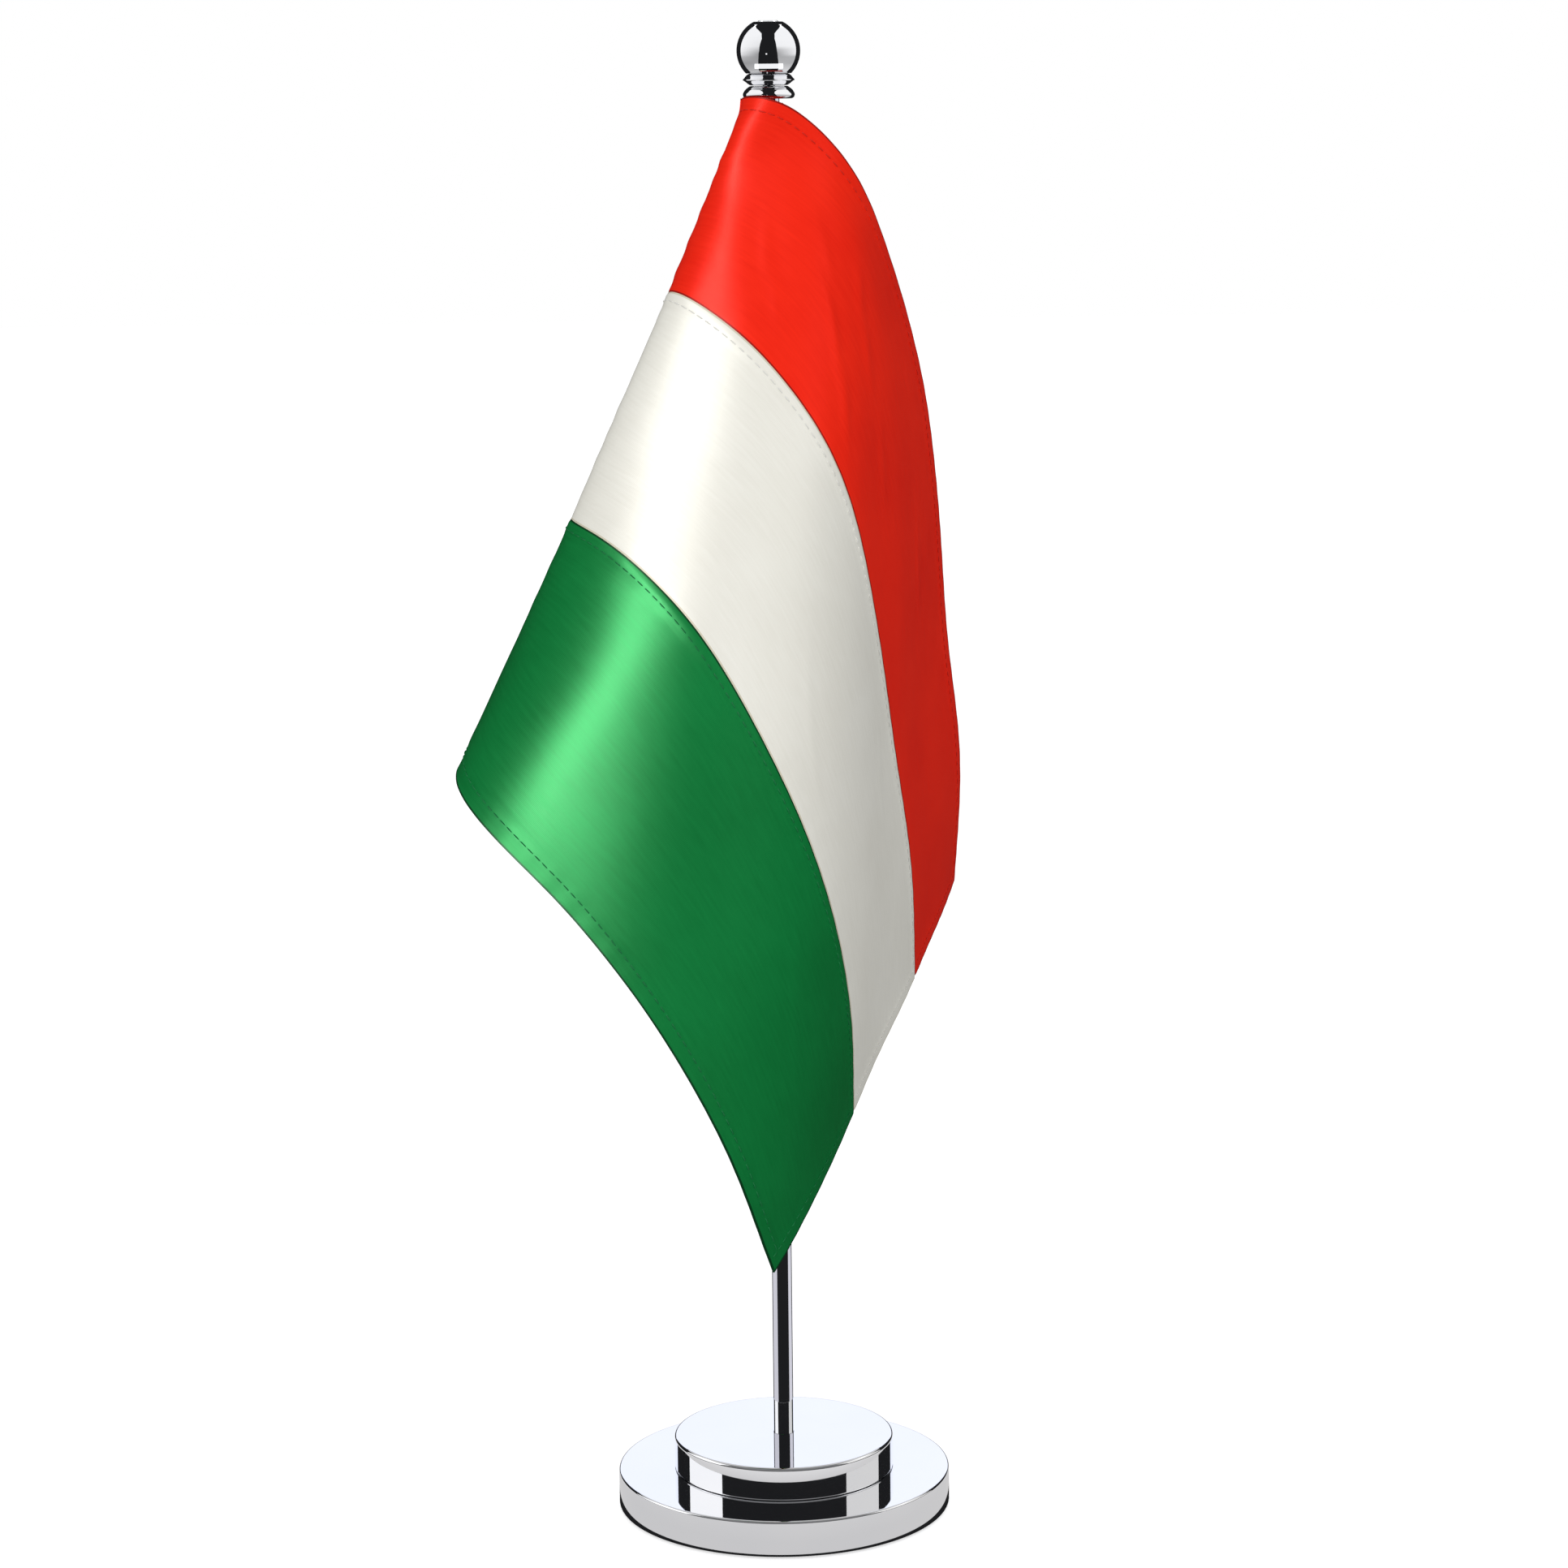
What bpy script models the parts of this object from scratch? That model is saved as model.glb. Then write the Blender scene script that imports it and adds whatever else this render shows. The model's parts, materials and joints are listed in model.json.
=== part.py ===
"""Desk flag stand: a two-tier chrome base, a thin pole, a screwed-on ball finial and a satin table flag.

Sizes are in millimetres and MM turns them into Blender's metres. +Z runs up the pole, the origin is on
the pole's axis in the plane the stand rests on, and -Y faces the side that the flag's fold hangs towards.
"""

import math

import bmesh
import bpy
from mathutils import Vector

MM = 0.001

# Driving dimensions
BASE_DIAMETER = 72.0
BASE_HEIGHT = 8.2
TIER_DIAMETER = 47.6
TIER_HEIGHT = 7.0
SHELL_WALL = 1.0
EDGE_ROUND = 0.5
PAD_THICKNESS = 1.0
PAD_PROUD = 0.4
POLE_DIAMETER = 4.3
POLE_TOP = 302.8
THREAD_DIAMETER = 2.5
STUD_REACH = 5.0

# Clearances
GAP = 0.3
THREAD_CLEARANCE = 0.15
SLEEVE_CLEARANCE = 0.3

# Fastener under the base
SCREW_HEAD_DIAMETER = 6.4
SCREW_HEAD_HEIGHT = 1.8
SCREW_REACH = 5.0
HEX_ACROSS_FLATS = 2.0
HEX_DEPTH = 1.0
WASHER_DIAMETER = 7.6
WASHER_THICKNESS = 0.5
LOCK_WASHER_DIAMETER = 5.2
LOCK_WASHER_THICKNESS = 0.7
LOCK_WASHER_SPLIT = 0.5

# Hub that the pole stands in
SOCKET_DIAMETER = 12.0
SOCKET_FLANGE_DIAMETER = 20.0
SOCKET_FLANGE_THICKNESS = 1.5
SOCKET_FLOOR = 1.5

# Finial
BALL_DIAMETER = 13.1
BALL_ABOVE_POLE = 9.2
COLLAR_DIAMETER = 10.7
COLLAR_NECK_DIAMETER = 8.2
COLLAR_TOP_DIAMETER = 9.0
LOWER_COLLAR_HEIGHT = 2.4
UPPER_COLLAR_HEIGHT = 2.1
POLE_INTO_COLLAR = 0.5
BUTTON_DIAMETER = 5.4
BUTTON_TOP_DIAMETER = 3.8
BUTTON_HEIGHT = 0.9
FINIAL_WASHER_THICKNESS = 0.4

# Flag
FLAG_HOIST = 140.0
CLOTH_THICKNESS = 0.8
STRIPE_COUNT = 3
STRIPE_GAP = 0.4
SLEEVE_WALL = 0.5
SLEEVE_BELOW_COLLAR = 0.9
SEAM_GAP = 0.15
RING_SECTION = 1.6
RING_CLEARANCE = 0.1
STATION_SPLITS = 3
STRIPE_ROWS = 5
SLOPE_STEP = 0.5
SLOPE_STEP_DOWN = 0.01

# Round pieces
SIDES = 48
ARC_STEPS = 4
BALL_STEPS = 22
RING_STEPS = 12
SHARP_ANGLE = 35

WELD = 0.000001

# How the cloth hangs. Each line follows the cloth from the sleeve to its free edge, at the distances along
# the cloth in FLAG_STATIONS. The first line is the top edge, the next two are the seams between the
# stripes and the last is the bottom edge. Each point is (across, away from the viewer, up), measured from
# the top of the seam between the cloth and its sleeve.
FLAG_STATIONS = (0, 5, 15, 30, 45, 60, 75, 90, 120, 150, 180, 210)
TOP_EDGE = (
    (0, 0, 0), (-2.5, -3, 0), (4.5, -7.5, 1.5), (17, -3, -8), (25, 5, -20.5), (30.5, 13, -35),
    (33.5, 20, -49), (36.5, 27, -63), (39.5, 40, -90), (42, 53, -118), (45.5, 66, -145),
    (43.5, 78, -178),
)
UPPER_SEAM = (
    (0, 0, -46), (-4.5, 2, -45), (-13.5, 0, -41), (-14.5, -10, -39), (-4, -16, -45), (6.5, -18, -56),
    (14.5, -16, -69), (20, -11, -83), (26, 0, -111), (29.5, 13, -139), (33, 26, -166), (33.5, 39, -193),
)
LOWER_SEAM = (
    (0, 0, -93), (-4.5, 1, -92), (-14.5, 1, -90), (-28.5, -3, -86), (-38.5, -12, -84),
    (-30.5, -23, -87), (-21, -30, -95), (-11.5, -34, -106), (3.5, -34, -132), (13, -26, -160),
    (18.5, -13, -188), (19, 1, -214),
)
BOTTOM_EDGE = (
    (0, 0, -139), (-4.5, 1, -138), (-15.5, 1, -135), (-30.5, 1, -132), (-46.5, -3, -129),
    (-58.5, -13, -129), (-62.5, -27, -134), (-57.5, -37, -142), (-38.5, -45, -162), (-21.5, -48, -184),
    (-7.5, -45, -209), (1.5, -36, -238),
)
CLOTH_LINES = (TOP_EDGE, UPPER_SEAM, LOWER_SEAM, BOTTOM_EDGE)

# Worked-out levels and radii
BASE_RADIUS = BASE_DIAMETER / 2
TIER_RADIUS = TIER_DIAMETER / 2
POLE_RADIUS = POLE_DIAMETER / 2
THREAD_RADIUS = THREAD_DIAMETER / 2
TAPPED_RADIUS = THREAD_RADIUS + THREAD_CLEARANCE
TIER_BOTTOM = BASE_HEIGHT + GAP
TIER_TOP = TIER_BOTTOM + TIER_HEIGHT
CORE_TOP = TIER_TOP - SHELL_WALL - GAP
SOCKET_RADIUS = SOCKET_DIAMETER / 2
SOCKET_FLANGE_RADIUS = SOCKET_FLANGE_DIAMETER / 2
FLANGE_BOTTOM = CORE_TOP - SOCKET_FLANGE_THICKNESS
SOCKET_BORE = POLE_RADIUS + GAP
SOCKET_FLOOR_TOP = TIER_BOTTOM + SOCKET_FLOOR
POLE_BOTTOM = SOCKET_FLOOR_TOP + GAP
SCREW_HOLE_RADIUS = THREAD_RADIUS + GAP
WEIGHT_BOTTOM = PAD_THICKNESS + GAP
WEIGHT_TOP = BASE_HEIGHT - SHELL_WALL - GAP
RECESS_RADIUS = WASHER_DIAMETER / 2 + GAP
FASTENER_STACK = SCREW_HEAD_HEIGHT + LOCK_WASHER_THICKNESS + WASHER_THICKNESS + 3 * GAP
RECESS_TOP = WEIGHT_BOTTOM + FASTENER_STACK
SLEEVE_INNER = POLE_RADIUS + SLEEVE_CLEARANCE
SLEEVE_OUTER = SLEEVE_INNER + SLEEVE_WALL
COLLAR_BOTTOM = POLE_TOP - POLE_INTO_COLLAR
COLLAR_RECESS_RADIUS = POLE_RADIUS + GAP
COLLAR_RECESS_TOP = POLE_TOP + FINIAL_WASHER_THICKNESS + 2 * GAP
SLEEVE_TOP = COLLAR_BOTTOM - SLEEVE_BELOW_COLLAR
SLEEVE_BOTTOM = SLEEVE_TOP - FLAG_HOIST
HOIST_SEAM = SLEEVE_OUTER + CLOTH_THICKNESS / 2 + SEAM_GAP
BALL_RADIUS = BALL_DIAMETER / 2
BALL_CENTRE = POLE_TOP + BALL_ABOVE_POLE


def material(name, colour, roughness, metallic):
    """A Principled material, made once for each name."""
    found = bpy.data.materials.get(name)
    if found:
        return found
    made = bpy.data.materials.new(name)
    made.use_nodes = True
    made.diffuse_color = (*colour, 1.0)
    shader = made.node_tree.nodes["Principled BSDF"]
    shader.inputs["Base Color"].default_value = (*colour, 1.0)
    shader.inputs["Roughness"].default_value = roughness
    shader.inputs["Metallic"].default_value = metallic
    return made


def chrome():
    return material("chrome", (0.86, 0.87, 0.89), 0.04, 1.0)


def iron():
    return material("iron", (0.32, 0.32, 0.33), 0.55, 1.0)


def steel():
    return material("zinc_steel", (0.62, 0.63, 0.64), 0.3, 1.0)


def pad_rubber():
    return material("pad_rubber", (0.03, 0.03, 0.03), 0.9, 0.0)


def ring_rubber():
    return material("ring_rubber", (0.02, 0.02, 0.02), 0.6, 0.0)


def red_satin():
    return material("red_satin", (0.80, 0.05, 0.02), 0.35, 0.0)


def white_satin():
    return material("white_satin", (0.86, 0.85, 0.80), 0.35, 0.0)


def green_satin():
    return material("green_satin", (0.01, 0.25, 0.08), 0.35, 0.0)


def arc(radius_at, height_at, radius, start, end, steps=ARC_STEPS):
    """Points of an arc in the (radius, height) plane, with angles in degrees from the outward direction."""
    turns = [math.radians(start + (end - start) * i / steps) for i in range(steps + 1)]
    return [(radius_at + radius * math.cos(t), height_at + radius * math.sin(t)) for t in turns]


def node_object(name, bm, finish):
    """Turns a bmesh into a named object with smooth, sharp-edged shading."""
    bmesh.ops.recalc_face_normals(bm, faces=bm.faces)
    mesh = bpy.data.meshes.new(name)
    bm.to_mesh(mesh)
    bm.free()
    mesh.shade_smooth()
    mesh.set_sharp_from_angle(angle=math.radians(SHARP_ANGLE))
    mesh.materials.append(finish)
    made = bpy.data.objects.new(name, mesh)
    bpy.context.scene.collection.objects.link(made)
    return made


def turned(name, outline, finish):
    """A solid turned about the Z axis from (radius, height) points, closed by itself or by the axis."""
    bm = bmesh.new()
    verts = [bm.verts.new((radius * MM, 0, height * MM)) for radius, height in outline]
    edges = [bm.edges.new(pair) for pair in zip(verts, verts[1:])]
    if outline[0][0] > 0:
        edges.append(bm.edges.new((verts[-1], verts[0])))
    bmesh.ops.spin(
        bm, geom=verts + edges, cent=(0, 0, 0), axis=(0, 0, 1), angle=math.tau, steps=SIDES, use_merge=True
    )
    bmesh.ops.remove_doubles(bm, verts=bm.verts, dist=WELD)
    return node_object(name, bm, finish)


def cup(name, radius, bottom, top, hole, finish):
    """A drawn shell: a top wall with a hole, a rounded edge and an outer wall, open underneath."""
    inner = radius - SHELL_WALL
    rim = arc(radius - EDGE_ROUND, top - EDGE_ROUND, EDGE_ROUND, 0, 90)
    outline = [(radius, bottom), *rim, (hole, top), (hole, top - SHELL_WALL)]
    outline += [(inner, top - SHELL_WALL), (inner, bottom)]
    return turned(name, outline, finish)


def base_shell():
    return cup("base_shell", BASE_RADIUS, PAD_PROUD, BASE_HEIGHT, SCREW_HOLE_RADIUS, chrome())


def tier_shell():
    return cup("tier_shell", TIER_RADIUS, TIER_BOTTOM, TIER_TOP, POLE_RADIUS + GAP, chrome())


def base_pad():
    radius = BASE_RADIUS - SHELL_WALL - GAP
    return turned("base_pad", [(0, 0), (radius, 0), (radius, PAD_THICKNESS), (0, PAD_THICKNESS)], pad_rubber())


def base_weight():
    """The iron disc that keeps the stand upright, recessed from below for the screw and its washers."""
    radius = BASE_RADIUS - SHELL_WALL - GAP
    outline = [(RECESS_RADIUS, WEIGHT_BOTTOM), (radius, WEIGHT_BOTTOM), (radius, WEIGHT_TOP)]
    outline += [(SCREW_HOLE_RADIUS, WEIGHT_TOP), (SCREW_HOLE_RADIUS, RECESS_TOP)]
    outline += [(RECESS_RADIUS, RECESS_TOP)]
    return turned("base_weight", outline, iron())


def tier_core():
    """The disc pressed into the upper tier, stepped for the flange of the pole's socket."""
    radius = TIER_RADIUS - SHELL_WALL - GAP
    step = SOCKET_FLANGE_RADIUS + GAP
    bore = SOCKET_RADIUS + GAP
    step_height = FLANGE_BOTTOM - GAP
    outline = [(bore, TIER_BOTTOM), (radius, TIER_BOTTOM), (radius, CORE_TOP)]
    outline += [(step, CORE_TOP), (step, step_height), (bore, step_height)]
    return turned("tier_core", outline, iron())


def pole_socket():
    """The flanged hub that the pole's foot stands in, with a floor that the screw passes through."""
    outline = [(SCREW_HOLE_RADIUS, TIER_BOTTOM), (SOCKET_RADIUS, TIER_BOTTOM)]
    outline += [(SOCKET_RADIUS, FLANGE_BOTTOM), (SOCKET_FLANGE_RADIUS, FLANGE_BOTTOM)]
    outline += [(SOCKET_FLANGE_RADIUS, CORE_TOP), (SOCKET_BORE, CORE_TOP)]
    outline += [(SOCKET_BORE, SOCKET_FLOOR_TOP), (SCREW_HOLE_RADIUS, SOCKET_FLOOR_TOP)]
    return turned("pole_socket", outline, steel())


def hex_cutter(top):
    """The six-sided cut for a key in the screw's head."""
    bm = bmesh.new()
    across_corners = HEX_ACROSS_FLATS / math.cos(math.pi / 6)
    bmesh.ops.create_cone(
        bm, cap_ends=True, segments=6, radius1=across_corners / 2 * MM, radius2=across_corners / 2 * MM,
        depth=2 * HEX_DEPTH * MM,
    )
    cutter = node_object("hex_cutter", bm, steel())
    cutter.location.z = top * MM
    cutter.hide_render = True
    cutter.display_type = "WIRE"
    return cutter


def base_screw():
    """The screw that clamps the base, its head down and its thread up inside the pole's foot."""
    head_bottom = WEIGHT_BOTTOM
    head_top = head_bottom + SCREW_HEAD_HEIGHT
    head_radius = SCREW_HEAD_DIAMETER / 2
    tip = POLE_BOTTOM + SCREW_REACH
    outline = [(0, head_bottom)]
    outline += arc(head_radius - EDGE_ROUND, head_bottom + EDGE_ROUND, EDGE_ROUND, -90, 0)
    outline += [(head_radius, head_top), (THREAD_RADIUS, head_top), (THREAD_RADIUS, tip - EDGE_ROUND)]
    outline += [(THREAD_RADIUS - EDGE_ROUND, tip), (0, tip)]
    screw = turned("base_screw", outline, steel())
    cut = screw.modifiers.new("key_recess", "BOOLEAN")
    cut.operation = "DIFFERENCE"
    cut.object = hex_cutter(head_bottom)
    return screw


def flat_ring(name, inner, outer, bottom, top, finish):
    return turned(name, [(inner, bottom), (outer, bottom), (outer, top), (inner, top)], finish)


def base_washer():
    top = RECESS_TOP - GAP
    bottom = top - WASHER_THICKNESS
    return flat_ring("base_washer", SCREW_HOLE_RADIUS, WASHER_DIAMETER / 2, bottom, top, steel())


def base_lock_washer():
    """A spring washer: a flat ring with one narrow split."""
    bottom = WEIGHT_BOTTOM + SCREW_HEAD_HEIGHT + GAP
    top = bottom + LOCK_WASHER_THICKNESS
    outer = LOCK_WASHER_DIAMETER / 2
    ring = flat_ring("base_lock_washer", SCREW_HOLE_RADIUS, outer, bottom, top, steel())
    bm = bmesh.new()
    bmesh.ops.create_cube(bm, size=MM)
    bmesh.ops.scale(bm, verts=bm.verts, vec=(2 * outer, LOCK_WASHER_SPLIT, 4 * LOCK_WASHER_THICKNESS))
    bmesh.ops.translate(bm, verts=bm.verts, vec=(outer * MM, 0, (bottom + top) / 2 * MM))
    cutter = node_object("split_cutter", bm, steel())
    cutter.hide_render = True
    cutter.display_type = "WIRE"
    cut = ring.modifiers.new("split", "BOOLEAN")
    cut.operation = "DIFFERENCE"
    cut.object = cutter
    return ring


def pole_tube():
    return flat_ring("pole_tube", TAPPED_RADIUS, POLE_RADIUS, POLE_BOTTOM, POLE_TOP, chrome())


def lower_collar(hole):
    """The collar that covers the pole's end: a domed skirt, recessed below for the pole and its washer."""
    top = COLLAR_BOTTOM + LOWER_COLLAR_HEIGHT
    widest = COLLAR_DIAMETER / 2
    foot = widest - EDGE_ROUND
    outline = [(COLLAR_RECESS_RADIUS, COLLAR_BOTTOM), (foot, COLLAR_BOTTOM)]
    outline += arc(foot, COLLAR_BOTTOM + EDGE_ROUND, EDGE_ROUND, -45, 45, 3)
    outline += [(COLLAR_NECK_DIAMETER / 2, top - EDGE_ROUND), (COLLAR_NECK_DIAMETER / 2, top), (hole, top)]
    outline += [(hole, COLLAR_RECESS_TOP), (COLLAR_RECESS_RADIUS, COLLAR_RECESS_TOP)]
    return turned("finial_lower_collar", outline, chrome())


def upper_collar(bottom, hole):
    """The collar under the ball: its underside draws in to the neck below it."""
    top = bottom + UPPER_COLLAR_HEIGHT
    widest = COLLAR_DIAMETER / 2
    edge = bottom + UPPER_COLLAR_HEIGHT / 2
    outline = [(hole, bottom), (COLLAR_NECK_DIAMETER / 2, bottom)]
    outline += [(widest - EDGE_ROUND, edge - EDGE_ROUND)]
    outline += arc(widest - EDGE_ROUND / 2, edge, EDGE_ROUND / 2, -45, 45, 3)
    outline += [(COLLAR_TOP_DIAMETER / 2, top), (hole, top)]
    return turned("finial_upper_collar", outline, chrome())


def ball(bottom, floor, recess, hole):
    """The ball, cut flat below for its seat, recessed above for the button and bored through for the stud."""
    low = math.degrees(math.asin((bottom - BALL_CENTRE) / BALL_RADIUS))
    high = math.degrees(math.acos(recess / BALL_RADIUS))
    outline = [(hole, bottom), *arc(0, BALL_CENTRE, BALL_RADIUS, low, high, BALL_STEPS)]
    outline += [(recess, floor), (hole, floor)]
    return turned("finial_ball", outline, chrome())


def button(bottom, bore_top):
    """The flat button on top of the ball, tapped from below for the stud."""
    top = bottom + BUTTON_HEIGHT
    outline = [(TAPPED_RADIUS, bottom), (BUTTON_DIAMETER / 2, bottom), (BUTTON_TOP_DIAMETER / 2, top)]
    outline += [(0, top), (0, bore_top), (TAPPED_RADIUS, bore_top)]
    return turned("finial_cap", outline, chrome())


def stud(bottom, top):
    """The threaded rod that ties the finial together and screws into the pole."""
    point = THREAD_RADIUS - THREAD_CLEARANCE
    outline = [(0, bottom), (point, bottom), (THREAD_RADIUS, bottom + EDGE_ROUND)]
    outline += [(THREAD_RADIUS, top), (0, top)]
    return turned("finial_stud", outline, steel())


def finial():
    hole = TAPPED_RADIUS
    upper_bottom = COLLAR_BOTTOM + LOWER_COLLAR_HEIGHT + GAP
    ball_bottom = upper_bottom + UPPER_COLLAR_HEIGHT + GAP
    recess = BUTTON_DIAMETER / 2 + GAP
    recess_floor = BALL_CENTRE + math.sqrt(BALL_RADIUS**2 - recess**2) - BUTTON_HEIGHT
    cap_bottom = recess_floor + GAP
    bore_top = cap_bottom + BUTTON_HEIGHT / 2
    washer_bottom = POLE_TOP + GAP
    pieces = [
        lower_collar(hole),
        upper_collar(upper_bottom, hole),
        ball(ball_bottom, recess_floor, recess, hole),
        button(cap_bottom, bore_top),
        stud(POLE_TOP - STUD_REACH, bore_top - GAP),
    ]
    washer = flat_ring(
        "finial_washer", hole, POLE_RADIUS, washer_bottom, washer_bottom + FINIAL_WASHER_THICKNESS, ring_rubber()
    )
    return [*pieces, washer]


def along(line, distance):
    """The point of a cloth line at a distance from the sleeve, on a smooth curve through its points."""
    last = len(FLAG_STATIONS) - 1
    i = max(k for k in range(last) if FLAG_STATIONS[k] <= distance)
    span = FLAG_STATIONS[i + 1] - FLAG_STATIONS[i]
    t = (distance - FLAG_STATIONS[i]) / span

    def slope(k):
        before = max(k - 1, 0)
        after = min(k + 1, last)
        reach = FLAG_STATIONS[after] - FLAG_STATIONS[before]
        return [(b - a) / reach for a, b in zip(line[before], line[after])]

    weights = (2 * t**3 - 3 * t**2 + 1, span * (t**3 - 2 * t**2 + t), 3 * t**2 - 2 * t**3, span * (t**3 - t**2))
    parts = zip(line[i], slope(i), line[i + 1], slope(i + 1))
    return [sum(weight * value for weight, value in zip(weights, part)) for part in parts]


def cloth_point(distance, down):
    """The middle of the cloth. down counts stripes from the top edge, from 0 to 3."""
    total = [0.0, 0.0, 0.0]
    for i, line in enumerate(CLOTH_LINES):
        share = 1.0
        for j in range(len(CLOTH_LINES)):
            if j != i:
                share *= (down - j) / (i - j)
        point = along(line, distance)
        total = [value + share * part for value, part in zip(total, point)]
    return (total[0] - HOIST_SEAM, total[1], total[2] + SLEEVE_TOP)


def cloth_normal(distance, down):
    """The direction across the cloth, from its slopes along and down."""
    far = cloth_point(min(distance + SLOPE_STEP, FLAG_STATIONS[-1]), down)
    near = cloth_point(max(distance - SLOPE_STEP, 0), down)
    low = cloth_point(distance, down + SLOPE_STEP_DOWN)
    high = cloth_point(distance, down - SLOPE_STEP_DOWN)
    across = (Vector(far) - Vector(near)).cross(Vector(low) - Vector(high))
    return across.normalized()


def stripe(name, number, finish):
    """One field of the flag, as a thin closed sheet on the cloth's surface."""
    margin = STRIPE_GAP / 2 / (FLAG_HOIST / STRIPE_COUNT)
    top = number + (margin if number > 0 else 0)
    bottom = number + 1 - (margin if number < STRIPE_COUNT - 1 else 0)
    places = [
        start + (end - start) * k / STATION_SPLITS
        for start, end in zip(FLAG_STATIONS, FLAG_STATIONS[1:])
        for k in range(STATION_SPLITS)
    ] + [FLAG_STATIONS[-1]]
    downs = [top + (bottom - top) * k / STRIPE_ROWS for k in range(STRIPE_ROWS + 1)]
    bm = bmesh.new()
    sides = []
    for side in (-0.5, 0.5):
        grid = []
        for down in downs:
            row = []
            for place in places:
                centre = cloth_point(place, down)
                normal = cloth_normal(place, down)
                row.append(bm.verts.new((Vector(centre) + side * CLOTH_THICKNESS * normal) * MM))
            grid.append(row)
        sides.append(grid)
    for grid in sides:
        for upper, lower in zip(grid, grid[1:]):
            for k in range(len(upper) - 1):
                bm.faces.new((upper[k], upper[k + 1], lower[k + 1], lower[k]))
    for back, front in (border_pair(sides, edge) for edge in ("top", "bottom", "hoist", "fly")):
        for k in range(len(back) - 1):
            bm.faces.new((back[k], back[k + 1], front[k + 1], front[k]))
    return node_object(name, bm, finish)


def border_pair(sides, edge):
    """The two rows of corners, back and front, along one edge of a stripe."""
    back, front = sides
    if edge == "top":
        return back[0], front[0]
    if edge == "bottom":
        return back[-1], front[-1]
    column = 0 if edge == "hoist" else -1
    return [row[column] for row in back], [row[column] for row in front]


def flag():
    sleeve = flat_ring("flag_sleeve", SLEEVE_INNER, SLEEVE_OUTER, SLEEVE_BOTTOM, SLEEVE_TOP, red_satin())
    stripes = [
        stripe("flag_red_strip", 0, red_satin()),
        stripe("flag_white_strip", 1, white_satin()),
        stripe("flag_green_strip", 2, green_satin()),
    ]
    return [sleeve, *stripes]


def grip_ring():
    """The rubber ring on the pole that the sleeve stands on."""
    section = RING_SECTION / 2
    middle = POLE_RADIUS + RING_CLEARANCE + section
    last = 360 - 360 / RING_STEPS
    outline = arc(middle, SLEEVE_BOTTOM - GAP - section, section, 0, last, RING_STEPS - 1)
    return turned("flag_grip_ring", outline, ring_rubber())


def axis_empty(name, height, pieces):
    """An empty on the joint's axis that carries the pieces that move together."""
    empty = bpy.data.objects.new(name, None)
    empty.location.z = height * MM
    bpy.context.scene.collection.objects.link(empty)
    for piece in pieces:
        piece.parent = empty
        piece.location.z = -height * MM
    return empty


def clear_scene():
    for old in list(bpy.data.objects):
        bpy.data.objects.remove(old)


def main():
    clear_scene()
    base_pad()
    base_weight()
    base_shell()
    tier_core()
    tier_shell()
    pole_socket()
    base_screw()
    base_lock_washer()
    base_washer()
    pole_tube()
    *finial_pieces, washer = finial()
    axis_empty("finial_turn_axis", POLE_TOP, finial_pieces)
    axis_empty("finial_rise_axis", POLE_TOP, [washer])
    axis_empty("flag_turn_axis", SLEEVE_TOP, flag())
    axis_empty("flag_height_axis", SLEEVE_BOTTOM, [grip_ring()])


main()
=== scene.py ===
"""Finished look of the desk flag stand: studio, camera, chrome, hardware and the draped satin flag.

Shapes are given in millimetres and MM turns them into metres. +Z runs up the pole, and -Y faces the camera.
Azimuths are measured from the camera's side, positive to the right as the camera sees it.
"""

import json
import math

import bmesh
import bpy
import numpy as np
from mathutils import Matrix, Vector

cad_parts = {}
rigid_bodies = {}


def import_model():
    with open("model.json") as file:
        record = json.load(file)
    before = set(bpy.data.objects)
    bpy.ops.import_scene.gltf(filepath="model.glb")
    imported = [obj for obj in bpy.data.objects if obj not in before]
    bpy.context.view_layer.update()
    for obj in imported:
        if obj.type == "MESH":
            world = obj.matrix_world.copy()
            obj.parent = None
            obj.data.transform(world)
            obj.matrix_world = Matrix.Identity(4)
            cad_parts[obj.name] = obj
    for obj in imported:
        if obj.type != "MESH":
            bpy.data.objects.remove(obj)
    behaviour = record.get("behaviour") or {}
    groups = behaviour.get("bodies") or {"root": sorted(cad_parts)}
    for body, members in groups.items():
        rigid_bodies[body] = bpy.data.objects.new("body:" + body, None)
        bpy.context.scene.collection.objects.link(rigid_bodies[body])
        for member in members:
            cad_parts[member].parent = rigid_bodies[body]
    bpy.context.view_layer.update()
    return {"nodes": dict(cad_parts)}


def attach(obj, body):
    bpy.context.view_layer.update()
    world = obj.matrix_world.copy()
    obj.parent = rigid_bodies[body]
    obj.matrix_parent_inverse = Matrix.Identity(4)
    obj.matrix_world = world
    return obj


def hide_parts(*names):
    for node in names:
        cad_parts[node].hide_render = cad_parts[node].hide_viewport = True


MM = 0.001

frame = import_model()

# ---------------------------------------------------------------- sizes shared with the CAD model
BASE_RADIUS = 36.0
BASE_TOP = 8.2
BASE_FOOT = 0.4
TIER_RADIUS = 23.8
TIER_TOP = 15.5
POLE_RADIUS = 2.15
POLE_FOOT = 10.3
POLE_TOP = 302.8
COLLAR_BOTTOM = 302.3
BALL_CENTRE = 312.0
BALL_RADIUS = 6.55
SLEEVE_TOP = 301.4
HOIST = 140.0
FLY = 210.0

# ---------------------------------------------------------------- camera
CAMERA_PLACE = (0.0, -0.842, 0.311)
CAMERA_DOWN = 10.23
CAMERA_YAW = 0.108
CAMERA_ROLL = 0.62
LENS = 92.69


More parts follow.
